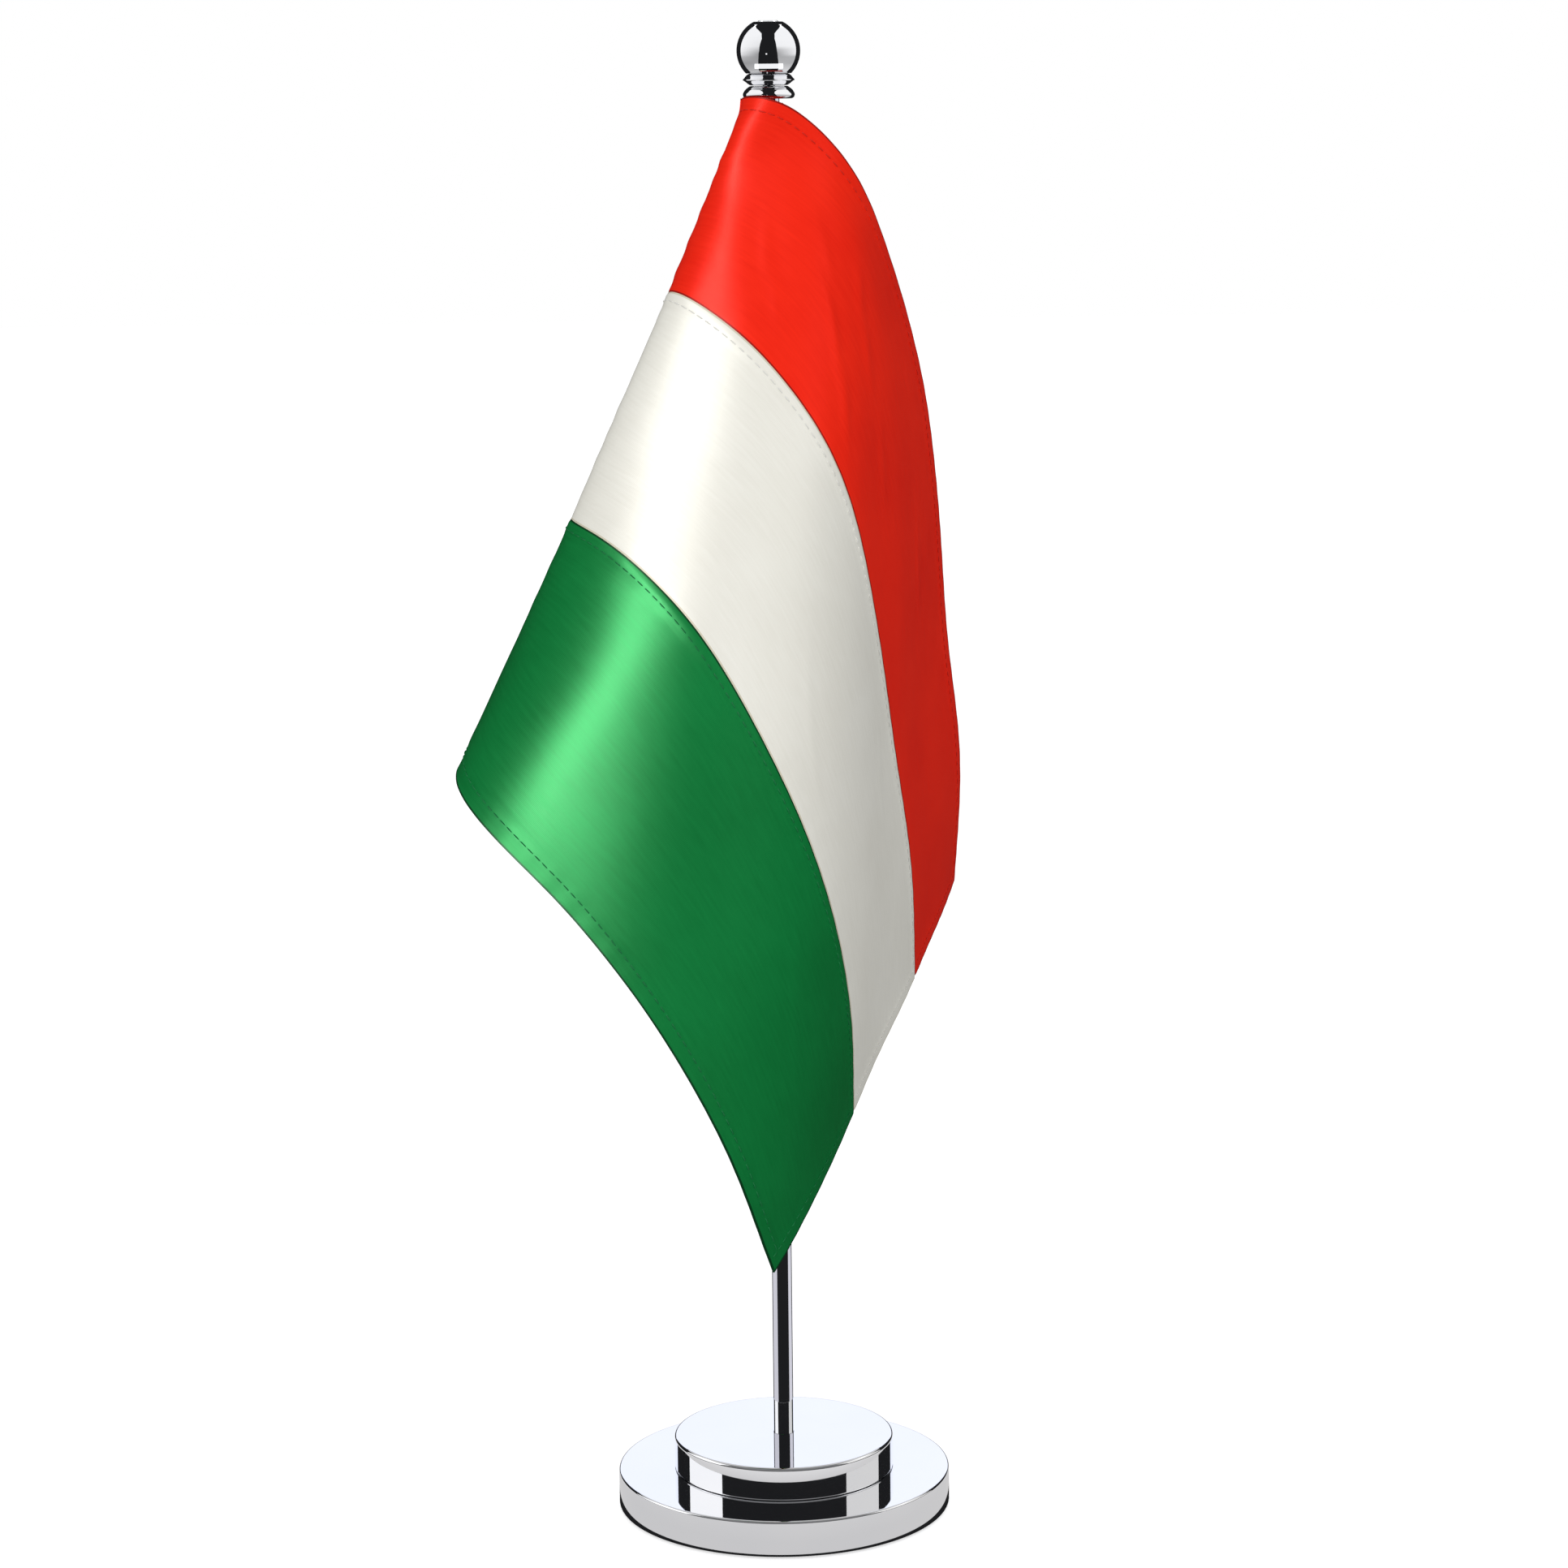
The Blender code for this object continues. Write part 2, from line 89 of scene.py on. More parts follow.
def make_camera():
    data = bpy.data.cameras.new("camera")
    data.lens = LENS
    data.sensor_width = 36.0
    camera = bpy.data.objects.new("camera", data)
    bpy.context.scene.collection.objects.link(camera)
    aim = Matrix.Rotation(math.radians(-CAMERA_YAW), 4, "Z")
    tilt = Matrix.Rotation(math.radians(90 - CAMERA_DOWN), 4, "X")
    roll = Matrix.Rotation(math.radians(-CAMERA_ROLL), 4, "Z")
    camera.matrix_world = Matrix.Translation(CAMERA_PLACE) @ aim @ tilt @ roll
    bpy.context.scene.camera = camera


make_camera()
bpy.context.scene.view_settings.view_transform = "Standard"


# ---------------------------------------------------------------- node helpers
def new_material(name):
    made = bpy.data.materials.new(name)
    made.use_nodes = True
    return made, made.node_tree, made.node_tree.nodes["Principled BSDF"]


def add(tree, kind, **values):
    """A node with its plain properties and the inputs named by values."""
    node = tree.nodes.new(kind)
    for key, value in values.items():
        if key in node.inputs:
            node.inputs[key].default_value = value
        else:
            setattr(node, key, value)
    return node


def mapped(tree, coordinate, scale):
    """The chosen texture coordinate, stretched by scale."""
    source = tree.nodes.new("ShaderNodeTexCoord")
    mapping = tree.nodes.new("ShaderNodeMapping")
    mapping.inputs["Scale"].default_value = scale
    tree.links.new(source.outputs[coordinate], mapping.inputs["Vector"])
    return mapping.outputs["Vector"]


def noise(tree, vector, scale, detail=3.0, roughness=0.5):
    node = tree.nodes.new("ShaderNodeTexNoise")
    node.inputs["Scale"].default_value = scale
    node.inputs["Detail"].default_value = detail
    node.inputs["Roughness"].default_value = roughness
    tree.links.new(vector, node.inputs["Vector"])
    return node.outputs["Fac"]


def ranged(tree, value, low, high, from_low=0.0, from_high=1.0):
    node = tree.nodes.new("ShaderNodeMapRange")
    node.inputs["From Min"].default_value = from_low
    node.inputs["From Max"].default_value = from_high
    node.inputs["To Min"].default_value = low
    node.inputs["To Max"].default_value = high
    tree.links.new(value, node.inputs["Value"])
    return node.outputs["Result"]


def maths(tree, operation, first, second):
    """One arithmetic step. Each side is a socket or a number."""
    node = tree.nodes.new("ShaderNodeMath")
    node.operation = operation
    for socket, value in zip(node.inputs, (first, second)):
        if isinstance(value, (int, float)):
            socket.default_value = value
        else:
            tree.links.new(value, socket)
    return node.outputs["Value"]


def bumped(tree, shader, height, strength, distance):
    """Raises the surface by height, on top of any bump already there."""
    node = tree.nodes.new("ShaderNodeBump")
    node.inputs["Strength"].default_value = strength
    node.inputs["Distance"].default_value = distance
    tree.links.new(height, node.inputs["Height"])
    normal = shader.inputs["Normal"]
    if normal.is_linked:
        tree.links.new(normal.links[0].from_socket, node.inputs["Normal"])
    tree.links.new(node.outputs["Normal"], normal)


def blended(tree, factor, first, second):
    """A colour between two others."""
    node = tree.nodes.new("ShaderNodeMix")
    node.data_type = "RGBA"
    tree.links.new(factor, node.inputs["Factor"])
    node.inputs["A"].default_value = (*first, 1.0)
    node.inputs["B"].default_value = (*second, 1.0)
    return node.outputs["Result"]


# ---------------------------------------------------------------- materials
def chrome_material():
    """Bright plating: nearly a mirror, with polishing marks and faint handling haze."""
    made, tree, shader = new_material("chrome_plating")
    shader.inputs["Metallic"].default_value = 1.0
    where = mapped(tree, "Object", (1, 1, 1))
    haze = noise(tree, where, 45.0, 4.0)
    tree.links.new(blended(tree, haze, (0.86, 0.87, 0.90), (0.93, 0.93, 0.94)), shader.inputs["Base Color"])
    fine = noise(tree, mapped(tree, "Object", (1, 1, 9)), 900.0, 2.0)
    rough = maths(tree, "ADD", ranged(tree, haze, 0.012, 0.035), ranged(tree, fine, 0.0, 0.012))
    tree.links.new(rough, shader.inputs["Roughness"])
    bumped(tree, shader, noise(tree, where, 30.0, 1.0), 0.02, 0.0006)
    return made


def metal_material(name, dark, light, rough, grain_scale, bump):
    """Zinc plate or cast iron: mottled colour, uneven roughness and a fine grain."""
    made, tree, shader = new_material(name)
    shader.inputs["Metallic"].default_value = 1.0
    where = mapped(tree, "Object", (1, 1, 1))
    mottle = noise(tree, where, grain_scale * 0.2, 5.0)
    grain = noise(tree, where, grain_scale, 4.0, 0.65)
    tree.links.new(blended(tree, mottle, dark, light), shader.inputs["Base Color"])
    tree.links.new(ranged(tree, grain, rough * 0.8, rough * 1.25), shader.inputs["Roughness"])
    bumped(tree, shader, grain, bump, 0.0002)
    return made


def rubber_material(name, colour, rough, cell_scale):
    """Rubber: a fine pebbled skin with dusty high spots."""
    made, tree, shader = new_material(name)
    where = mapped(tree, "Object", (1, 1, 1))
    cells = tree.nodes.new("ShaderNodeTexVoronoi")
    cells.inputs["Scale"].default_value = cell_scale
    tree.links.new(where, cells.inputs["Vector"])
    dust = noise(tree, where, cell_scale * 0.3, 4.0)
    lighter = tuple(part * 2.2 + 0.01 for part in colour)
    tree.links.new(blended(tree, dust, colour, lighter), shader.inputs["Base Color"])
    tree.links.new(ranged(tree, dust, rough * 0.85, min(rough * 1.15, 1.0)), shader.inputs["Roughness"])
    bumped(tree, shader, cells.outputs["Distance"], 0.35, 0.0001)
    return made


# The cloth's textures run over its flat size in metres. WAVE_SCALE makes one band as wide as one thread.
THREAD_PITCH = 0.00022
WAVE_SCALE = 0.314
# The painted shade line along the seams and the fly edge: its width in metres and how much of the edge colour it
# lays on.
SHADE_LINE_WIDTH = 0.00035
SHADE_LINE_SHARE = 0.8


def painted_seam_shade(tree):
    """The share of edge colour, a painted shade: a thin darker line along each colour's seams and free edges, on
    the flat cloth.
    """
    source = tree.nodes.new("ShaderNodeTexCoord")
    flat = tree.nodes.new("ShaderNodeSeparateXYZ")
    tree.links.new(source.outputs["UV"], flat.inputs["Vector"])
    stripe = HOIST / 3 * MM
    down = maths(tree, "PINGPONG", maths(tree, "ADD", flat.outputs["Y"], HOIST * MM), stripe / 2)
    seam = maths(tree, "LESS_THAN", down, SHADE_LINE_WIDTH)
    fly = maths(tree, "GREATER_THAN", flat.outputs["X"], FLY * MM - SHADE_LINE_WIDTH)
    seam_share = maths(tree, "MULTIPLY", seam, SHADE_LINE_SHARE)
    fly_share = maths(tree, "MULTIPLY", fly, SHADE_LINE_SHARE)
    return maths(tree, "MAXIMUM", seam_share, fly_share)


def satin_material(name, deep, bright, edge, metallic, rough, gloss):
    """Woven satin: long floats along the cloth, a soft directional gloss, slightly uneven dye and a painted shade
    line along its seams and free edges.
    """
    made, tree, shader = new_material(name)
    flat = mapped(tree, "UV", (1, 1, 1))
    bands = WAVE_SCALE / THREAD_PITCH
    warp = add(tree, "ShaderNodeTexWave", wave_type="BANDS", bands_direction="Y", Scale=bands)
    weft = add(tree, "ShaderNodeTexWave", wave_type="BANDS", bands_direction="X", Scale=bands / 2.5)
    for wave, bend in ((warp, 0.6), (weft, 1.2)):
        wave.inputs["Distortion"].default_value = bend
        wave.inputs["Detail"].default_value = 1.0
        wave.inputs["Detail Scale"].default_value = 2.0
        tree.links.new(flat, wave.inputs["Vector"])
    warp_share = maths(tree, "MULTIPLY", warp.outputs["Fac"], 0.75)
    weft_share = maths(tree, "MULTIPLY", weft.outputs["Fac"], 0.25)
    weave = maths(tree, "ADD", warp_share, weft_share)
    slub = noise(tree, mapped(tree, "UV", (1, 14, 1)), 120.0, 3.0)
    cloudy = noise(tree, flat, 38.0, 4.0)
    dye = maths(tree, "ADD", maths(tree, "MULTIPLY", slub, 0.45), maths(tree, "MULTIPLY", cloudy, 0.55))
    cloth_colour = blended(tree, ranged(tree, dye, 0.0, 1.0, 0.3, 0.7), deep, bright)
    # Painted shade: the edge colour is laid over the cloth's colour as a thin darker line along the seams and the
    # fly edge.
    line = tree.nodes.new("ShaderNodeMix")
    line.data_type = "RGBA"
    tree.links.new(painted_seam_shade(tree), line.inputs["Factor"])
    tree.links.new(cloth_colour, line.inputs["A"])
    line.inputs["B"].default_value = (*edge, 1.0)
    tree.links.new(line.outputs["Result"], shader.inputs["Base Color"])
    slub_rough = ranged(tree, slub, rough - 0.04, rough + 0.04)
    uneven = maths(tree, "ADD", slub_rough, ranged(tree, weave, 0.03, -0.03))
    tree.links.new(uneven, shader.inputs["Roughness"])
    shader.inputs["Metallic"].default_value = metallic
    shader.inputs["Specular IOR Level"].default_value = gloss
    shader.inputs["Anisotropic"].default_value = 0.3
    floats = add(tree, "ShaderNodeTangent", direction_type="UV_MAP", uv_map="flat_cloth")
    tree.links.new(floats.outputs["Tangent"], shader.inputs["Tangent"])
    bumped(tree, shader, weave, 0.25, 0.00003)
    bumped(tree, shader, slub, 0.2, 0.00006)
    return made


CHROME = chrome_material()
ZINC = metal_material("zinc_plate", (0.55, 0.56, 0.58), (0.72, 0.73, 0.74), 0.28, 900.0, 0.12)
IRON = metal_material("cast_iron", (0.20, 0.20, 0.21), (0.36, 0.36, 0.37), 0.55, 700.0, 0.5)
PAD = rubber_material("foam_rubber", (0.022, 0.022, 0.024), 0.85, 1500.0)
RING = rubber_material("smooth_rubber", (0.016, 0.016, 0.017), 0.55, 2500.0)
# Each edge colour is the painted shade line along that colour's seams and free edges.
RED = satin_material(
    "red_satin_weave", deep=(0.87, 0.013, 0.002), bright=(0.99, 0.022, 0.004), edge=(0.20, 0.004, 0.002),
    metallic=0.20, rough=0.36, gloss=0.25,
)
WHITE = satin_material(
    "white_satin_weave", deep=(0.78, 0.76, 0.68), bright=(0.85, 0.835, 0.76), edge=(0.60, 0.54, 0.40),
    metallic=0.16, rough=0.40, gloss=0.25,
)
GREEN = satin_material(
    "green_satin_weave", deep=(0.001, 0.25, 0.048), bright=(0.003, 0.32, 0.066), edge=(0.001, 0.03, 0.01),
    metallic=0.46, rough=0.34, gloss=0.8,
)


def thread_material(name, colour):
    """Sewing thread: a fine twist and a soft sheen."""
    made, tree, shader = new_material(name)
    twist = noise(tree, mapped(tree, "Object", (1, 1, 1)), 9000.0, 2.0)
    darker = tuple(part * 0.72 for part in colour)
    tree.links.new(blended(tree, twist, darker, colour), shader.inputs["Base Color"])
    tree.links.new(ranged(tree, twist, 0.42, 0.6), shader.inputs["Roughness"])
    shader.inputs["Specular IOR Level"].default_value = 0.3
    bumped(tree, shader, twist, 0.4, 0.00004)
    return made


RED_THREAD = thread_material("red_thread", (0.70, 0.016, 0.004))
WHITE_THREAD = thread_material("white_thread", (0.80, 0.79, 0.74))
GREEN_THREAD = thread_material("green_thread", (0.008, 0.19, 0.055))


# ---------------------------------------------------------------- building helpers
def link(name, mesh, material):
    mesh.materials.append(material)
    made = bpy.data.objects.new(name, mesh)
    bpy.context.scene.collection.objects.link(made)
    return made


def arc(radius_at, height_at, radius, start, end, steps):
    """Points of an arc in the (radius, height) plane, with angles in degrees from the outward direction."""
    turns = [math.radians(start + (end - start) * i / steps) for i in range(steps + 1)]
    return [(radius_at + radius * math.cos(t), height_at + radius * math.sin(t)) for t in turns]


def turned(name, outline, material, sides=192, sharp=32):
    """A solid turned about the Z axis from (radius, height) points, closed by itself or by the axis."""
    bm = bmesh.new()
    verts = [bm.verts.new((radius * MM, 0, height * MM)) for radius, height in outline]
    edges = [bm.edges.new(pair) for pair in zip(verts, verts[1:])]
    if outline[0][0] > 0:
        edges.append(bm.edges.new((verts[-1], verts[0])))
    bmesh.ops.spin(
        bm, geom=verts + edges, cent=(0, 0, 0), axis=(0, 0, 1), angle=math.tau, steps=sides, use_merge=True
    )
    bmesh.ops.remove_doubles(bm, verts=bm.verts, dist=1e-7)
    bmesh.ops.recalc_face_normals(bm, faces=bm.faces)
    mesh = bpy.data.meshes.new(name)
    bm.to_mesh(mesh)
    bm.free()
    mesh.shade_smooth()
    mesh.set_sharp_from_angle(angle=math.radians(sharp))
    return link(name, mesh, material)


def stands_for(piece, body, node):
    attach(piece, body)
    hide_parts(node)
    return piece


# ---------------------------------------------------------------- chrome pieces
WALL = 1.0
HOLD = 0.04
TIER_BOTTOM = 8.3
SCREW_HOLE = 1.55
POLE_HOLE = 2.2
POLE_BORE = 1.4
POLE_END = 1.95
POLE_CHAMFER = 0.2
STUD_HOLE = 1.4
COLLAR_TOP = 304.85
UPPER_COLLAR_BOTTOM = 305.0
UPPER_COLLAR_TOP = 307.38
BALL_FOOT = 307.4
BUTTON_RECESS = 2.95
BUTTON_FLOOR = 316.92
BUTTON_BOTTOM = 316.95
BUTTON_TOP = 318.12


def disc_outline(radius, bottom, top, edge, foot_edge, hole):
    """A drawn cover: flat top, rolled edge, straight side and a turned-in foot. HOLD keeps the flats flat."""
    points = arc(radius - foot_edge, bottom + foot_edge, foot_edge, -90, 0, 6)
    points += [(radius, bottom + foot_edge + HOLD), (radius, top - edge - HOLD)]
    points += arc(radius - edge, top - edge, edge, 0, 90, 12)
    points += [(radius - edge - HOLD, top), (hole + HOLD, top), (hole, top - HOLD), (hole, top - WALL)]
    points += [(radius - WALL, top - WALL), (radius - WALL, bottom)]
    return points


base_outline = disc_outline(BASE_RADIUS, BASE_FOOT, BASE_TOP, edge=0.55, foot_edge=0.3, hole=SCREW_HOLE)
tier_outline = disc_outline(TIER_RADIUS, TIER_BOTTOM, TIER_TOP, edge=0.7, foot_edge=0.3, hole=POLE_HOLE)
base_shell = turned("chrome_base", base_outline, CHROME, 256)
tier_shell = turned("chrome_tier", tier_outline, CHROME, 256)
stands_for(base_shell, "stand", "base_shell")
stands_for(tier_shell, "stand", "tier_shell")

pole_outline = [
    (POLE_BORE, POLE_FOOT), (POLE_END, POLE_FOOT),
    (POLE_RADIUS, POLE_FOOT + POLE_CHAMFER), (POLE_RADIUS, POLE_FOOT + POLE_CHAMFER + HOLD),
    (POLE_RADIUS, POLE_TOP - POLE_CHAMFER - HOLD), (POLE_RADIUS, POLE_TOP - POLE_CHAMFER),
    (POLE_END, POLE_TOP), (POLE_BORE, POLE_TOP),
]
pole = turned("chrome_pole", pole_outline, CHROME, 96)
stands_for(pole, "stand", "pole_tube")


def lower_collar():
    """The bell over the pole's end: a rounded lip below, drawn in to the neck above."""
    points = [(2.45, COLLAR_BOTTOM), (4.3, COLLAR_BOTTOM)]
    points += arc(4.55, COLLAR_BOTTOM + 0.8, 0.8, -80, 35, 12)
    points += [(4.95, 304.0), (4.6, 304.35), (4.22, 304.62), (4.0, 304.78), (3.7, COLLAR_TOP)]
    points += [(STUD_HOLE, COLLAR_TOP), (STUD_HOLE, 303.8), (2.45, 303.8)]
    return points


def upper_collar():
    """The flared collar: it spreads from the neck to a sharp lip, then closes in under the ball."""
    points = [(STUD_HOLE, UPPER_COLLAR_BOTTOM), (3.7, UPPER_COLLAR_BOTTOM)]
    points += [(3.95, 305.06), (4.3, 305.3), (4.75, 305.66), (5.1, 305.92)]
    points += arc(5.13, 306.1, 0.2, -40, 60, 6)
    points += [(5.0, 306.5), (4.75, 306.85), (4.5, 307.1), (4.2, 307.3)]
    points += [(3.9, UPPER_COLLAR_TOP), (STUD_HOLE, UPPER_COLLAR_TOP)]
    return points


def ball():
    """The ball, flat where the collar seats, recessed for the button and bored for the stud."""
    low = math.degrees(math.asin((BALL_FOOT - BALL_CENTRE) / BALL_RADIUS))
    high = math.degrees(math.acos(BUTTON_RECESS / BALL_RADIUS))
    points = arc(0, BALL_CENTRE, BALL_RADIUS, low, high, 96)
    recess = [(2.88, 317.81), (2.84, 317.74), (2.84, BUTTON_FLOOR), (STUD_HOLE, BUTTON_FLOOR)]
    return [(STUD_HOLE, BALL_FOOT), *points, *recess]


def button():
    """The flat-topped button, bevelled all round."""
    side = [(2.62, BUTTON_BOTTOM), (2.7, 317.05), (2.7, 317.24), (2.64, 317.32), (2.0, 318.02), (1.92, 318.09)]
    top = [(1.84, BUTTON_TOP), (1.7, BUTTON_TOP), (0.0, BUTTON_TOP)]
    return [(STUD_HOLE, BUTTON_BOTTOM), *side, *top, (0.0, 317.7), (STUD_HOLE, 317.7)]


for name, outline, node in (
    ("chrome_lower_collar", lower_collar(), "finial_lower_collar"),
    ("chrome_upper_collar", upper_collar(), "finial_upper_collar"),
    ("chrome_ball", ball(), "finial_ball"),
    ("chrome_button", button(), "finial_cap"),
):
    stands_for(turned(name, outline, CHROME, 160), "finial", node)

# ---------------------------------------------------------------- finishes of the CAD pieces that stay
FINISHES = {
    "base_weight": IRON,
    "tier_core": IRON,
    "pole_socket": ZINC,
    "base_screw": ZINC,
    "base_washer": ZINC,
    "base_lock_washer": ZINC,
    "finial_stud": ZINC,
    "base_pad": PAD,
    "finial_washer": RING,
    "flag_grip_ring": RING,
}
for node, finish in FINISHES.items():
    slots = frame["nodes"][node].data.materials
    slots.clear()
    slots.append(finish)

# ---------------------------------------------------------------- the cloth
# How the cloth hangs. Each line follows the cloth from the sleeve to its free edge, at the distances in STATIONS,
# and its heights are measured from the top of the sleeve. These lines are close to the CAD model's, not the same.
STATIONS = (0, 5, 15, 30, 45, 60, 75, 90, 120, 150, 180, 210)
TOP_EDGE = (
    (-3.5, 0, 0), (-6, -3, 0), (1, -7.5, 1.5), (12.3, -3, -9), (20.5, 5, -21.5), (26, 13, -35.5),
    (30, 20, -49), (33, 27, -63), (36, 40, -90), (38, 53, -119), (41.7, 66, -149), (40.3, 78, -182),
)
UPPER_SEAM = (
    (-3.5, 0, -46), (-8, 2, -45), (-17, 0, -41), (-16.5, -10, -36.5), (-6, -16, -44), (3.7, -18, -55.5),
    (11.5, -16, -69), (16.5, -11, -83), (22.5, 0, -111), (26, 13, -139), (29.5, 26, -166), (30.5, 39, -193),
)
LOWER_SEAM = (
    (-3.5, 0, -93), (-8, 1, -92), (-18, 1, -90), (-32, -3, -86), (-41, -12, -83.5), (-33, -23, -86),
    (-23, -30, -93.5), (-13.5, -34, -104.5), (0.5, -34, -132), (10, -26, -160), (15, -13, -188), (16, 1, -214),
)
BOTTOM_EDGE = (
    (-3.5, 0, -139), (-8, 1, -139), (-19, 1, -137), (-34, 1, -134.5), (-50, -3, -133), (-62, -13, -134),
    (-67.5, -27, -139.5), (-62.5, -37, -147), (-43, -45, -163.5), (-25, -48, -185), (-11, -45, -210),
    (-2, -36, -240.5),
)
# The side that the camera sees along the fold, from the top down, as (across, up).
FOLD_SIDE = ((-5.3, 301), (-21.5, 262), (-43, 215), (-56, 188.5), (-69, 162))
GRID_STEP = 2.5
REFINE = 3
CLOTH = 0.24
RELAX_ROUNDS = 160
SETTLE_ROUNDS = 6
DIAGONAL_STIFFNESS = 0.35
BEND_REACH = 4
BEND_STIFFNESS = 0.25
PULL = 1.6
SMOOTHING = 0.12
HOMING = 0.03
CLEAR_OF_POLE = 4.0
SEWN_COLUMNS = 3
SIDE_ROUNDS = 5


def cloth_line(points, at):
    """A smooth curve through the points of one line, at the distances in at."""
    knots = np.array(STATIONS, float)
    points = np.array(points, float)
    slope = np.empty_like(points)
    slope[1:-1] = (points[2:] - points[:-2]) / (knots[2:] - knots[:-2])[:, None]
    slope[0] = (points[1] - points[0]) / (knots[1] - knots[0])
    slope[-1] = (points[-1] - points[-2]) / (knots[-1] - knots[-2])
    i = np.clip(np.searchsorted(knots, at, side="right") - 1, 0, len(knots) - 2)
    span = knots[i + 1] - knots[i]
    t = ((at - knots[i]) / span)[:, None]
    span = span[:, None]
    start = (2 * t**3 - 3 * t**2 + 1) * points[i] + (t**3 - 2 * t**2 + t) * span * slope[i]
    return start + (3 * t**2 - 2 * t**3) * points[i + 1] + (t**3 - t**2) * span * slope[i + 1]


def draped_net(rows, columns):
    """The coarse cloth: rows down the hoist, columns along the fly."""
    at = np.linspace(0, FLY, columns)
    lines = np.array([cloth_line(line, at) for line in (TOP_EDGE, UPPER_SEAM, LOWER_SEAM, BOTTOM_EDGE)])
    net = np.zeros((rows, columns, 3))
    for row, down in enumerate(np.linspace(0, 3, rows)):
        for i in range(4):
            share = np.prod([(down - j) / (i - j) for j in range(4) if j != i])
            net[row] += share * lines[i]
    net[..., 2] += SLEEVE_TOP
    return net


def pull_lengths(net, rest, down, along, stiffness):
    """Moves each pair of points, down rows and along columns apart, towards its rest distance."""
    rows, columns = net.shape[:2]
    first = (slice(0, rows - down), slice(max(0, -along), columns - max(0, along)))
    second = (slice(down, rows), slice(max(0, along), columns + min(0, along)))
    gap = net[second] - net[first]
    length = np.linalg.norm(gap, axis=-1, keepdims=True)
    move = stiffness * 0.5 * (1 - rest / np.maximum(length, 1e-6)) * gap
    total = np.zeros_like(net)
    count = np.zeros((rows, columns, 1))
    total[first] += move
    total[second] -= move
    count[first] += 1
    count[second] += 1
    return total, count


def relaxed(net, rounds):
    """Evens the cloth out to its flat size, keeps it off the pole and holds it near the shape it hangs in."""
    home = net.copy()
    step_down = HOIST / (net.shape[0] - 1)
    step_along = FLY / (net.shape[1] - 1)
    diagonal = math.hypot(step_down, step_along)
    springs = (
        (step_along, 0, 1, 1.0),
        (step_down, 1, 0, 1.0),
        (diagonal, 1, 1, DIAGONAL_STIFFNESS),
        (diagonal, 1, -1, DIAGONAL_STIFFNESS),
        (BEND_REACH * step_along, 0, BEND_REACH, BEND_STIFFNESS),
        (BEND_REACH * step_down, BEND_REACH, 0, BEND_STIFFNESS),
    )
    for _ in range(rounds):
        total = np.zeros_like(net)
        count = np.zeros((*net.shape[:2], 1))
        for rest, down, along, stiffness in springs:
            move, used = pull_lengths(net, rest, down, along, stiffness)
            total += move
            count += used
        net = net + total / np.maximum(count, 1) * PULL
        smooth = net.copy()
        smooth[1:-1] += SMOOTHING * (net[2:] - 2 * net[1:-1] + net[:-2])
        smooth[:, 1:-1] += SMOOTHING * (net[:, 2:] - 2 * net[:, 1:-1] + net[:, :-2])
        net = smooth + HOMING * (home - smooth)
        around = np.hypot(net[..., 0], net[..., 1])
        near = (around < CLEAR_OF_POLE) & (net[..., 2] < POLE_TOP)
        push = np.where(near, CLEAR_OF_POLE / np.maximum(around, 1e-6), 1.0)
        net[:, SEWN_COLUMNS:, 0] *= push[:, SEWN_COLUMNS:]
        net[:, SEWN_COLUMNS:, 1] *= push[:, SEWN_COLUMNS:]
        net[:, 0] = home[:, 0]
    return net


def side_edge(net):
    """For each row, the column that shows furthest left from the camera, and how far left."""
    sight = -CAMERA_PLACE[1] / MM
    seen = net[..., 0] * sight / (sight + net[..., 1])
    return seen.argmin(axis=1), seen.min(axis=1)


def straightened(net):
    """Draws the rolled fold out to one even side, as cloth under its own weight does."""
    for _ in range(SIDE_ROUNDS):
        column, left = side_edge(net)
        height = net[np.arange(len(net)), column, 2]
        side, up = np.array(FOLD_SIDE[::-1]).T
        wanted = np.interp(height, up, side)
        width = 4 + 16 * np.linspace(0, 1, len(net))
        reach = (np.arange(net.shape[1])[None, :] - column[:, None]) / width[:, None]
        net[..., 0] += ((wanted - left)[:, None]) * np.exp(-(reach**2))
    return net


def refined(net, times):
    """The net with times the points each way, on a smooth surface through it."""
    for axis in (0, 1):
        net = np.moveaxis(net, axis, 0)
        ends = np.concatenate([2 * net[:1] - net[1:2], net, 2 * net[-1:] - net[-2:-1]])
        parts = []
        for k in range(times):
            t = k / times
            a, b, c, d = ends[:-3], ends[1:-2], ends[2:-1], ends[3:]
            square = a - 2.5 * b + 2 * c - 0.5 * d
            cube = -0.5 * a + 1.5 * b - 1.5 * c + 0.5 * d
            parts.append(b + 0.5 * t * (c - a) + t**2 * square + t**3 * cube)
        body = np.stack(parts, axis=1).reshape(-1, *net.shape[1:])
        net = np.moveaxis(np.concatenate([body, net[-1:]]), 0, axis)
    return net


def normals_of(net):
    down = np.gradient(net, axis=0)
    along = np.gradient(net, axis=1)
    cross = np.cross(down, along)
    return cross / np.linalg.norm(cross, axis=-1, keepdims=True)


# Soft folds that fan out from the top of the hoist: (folds in the fan, phase, height).
FAN = ((13, 0.6, 0.34), (23, 2.1, 0.18), (37, 4.0, 0.07))
# Broad folds: (along, down, angle of the ridge, length, width, height).
FOLDS = ((31, 21, 52, 30, 6.5, -1.0), (50, 14, 42, 26, 9, 0.6))
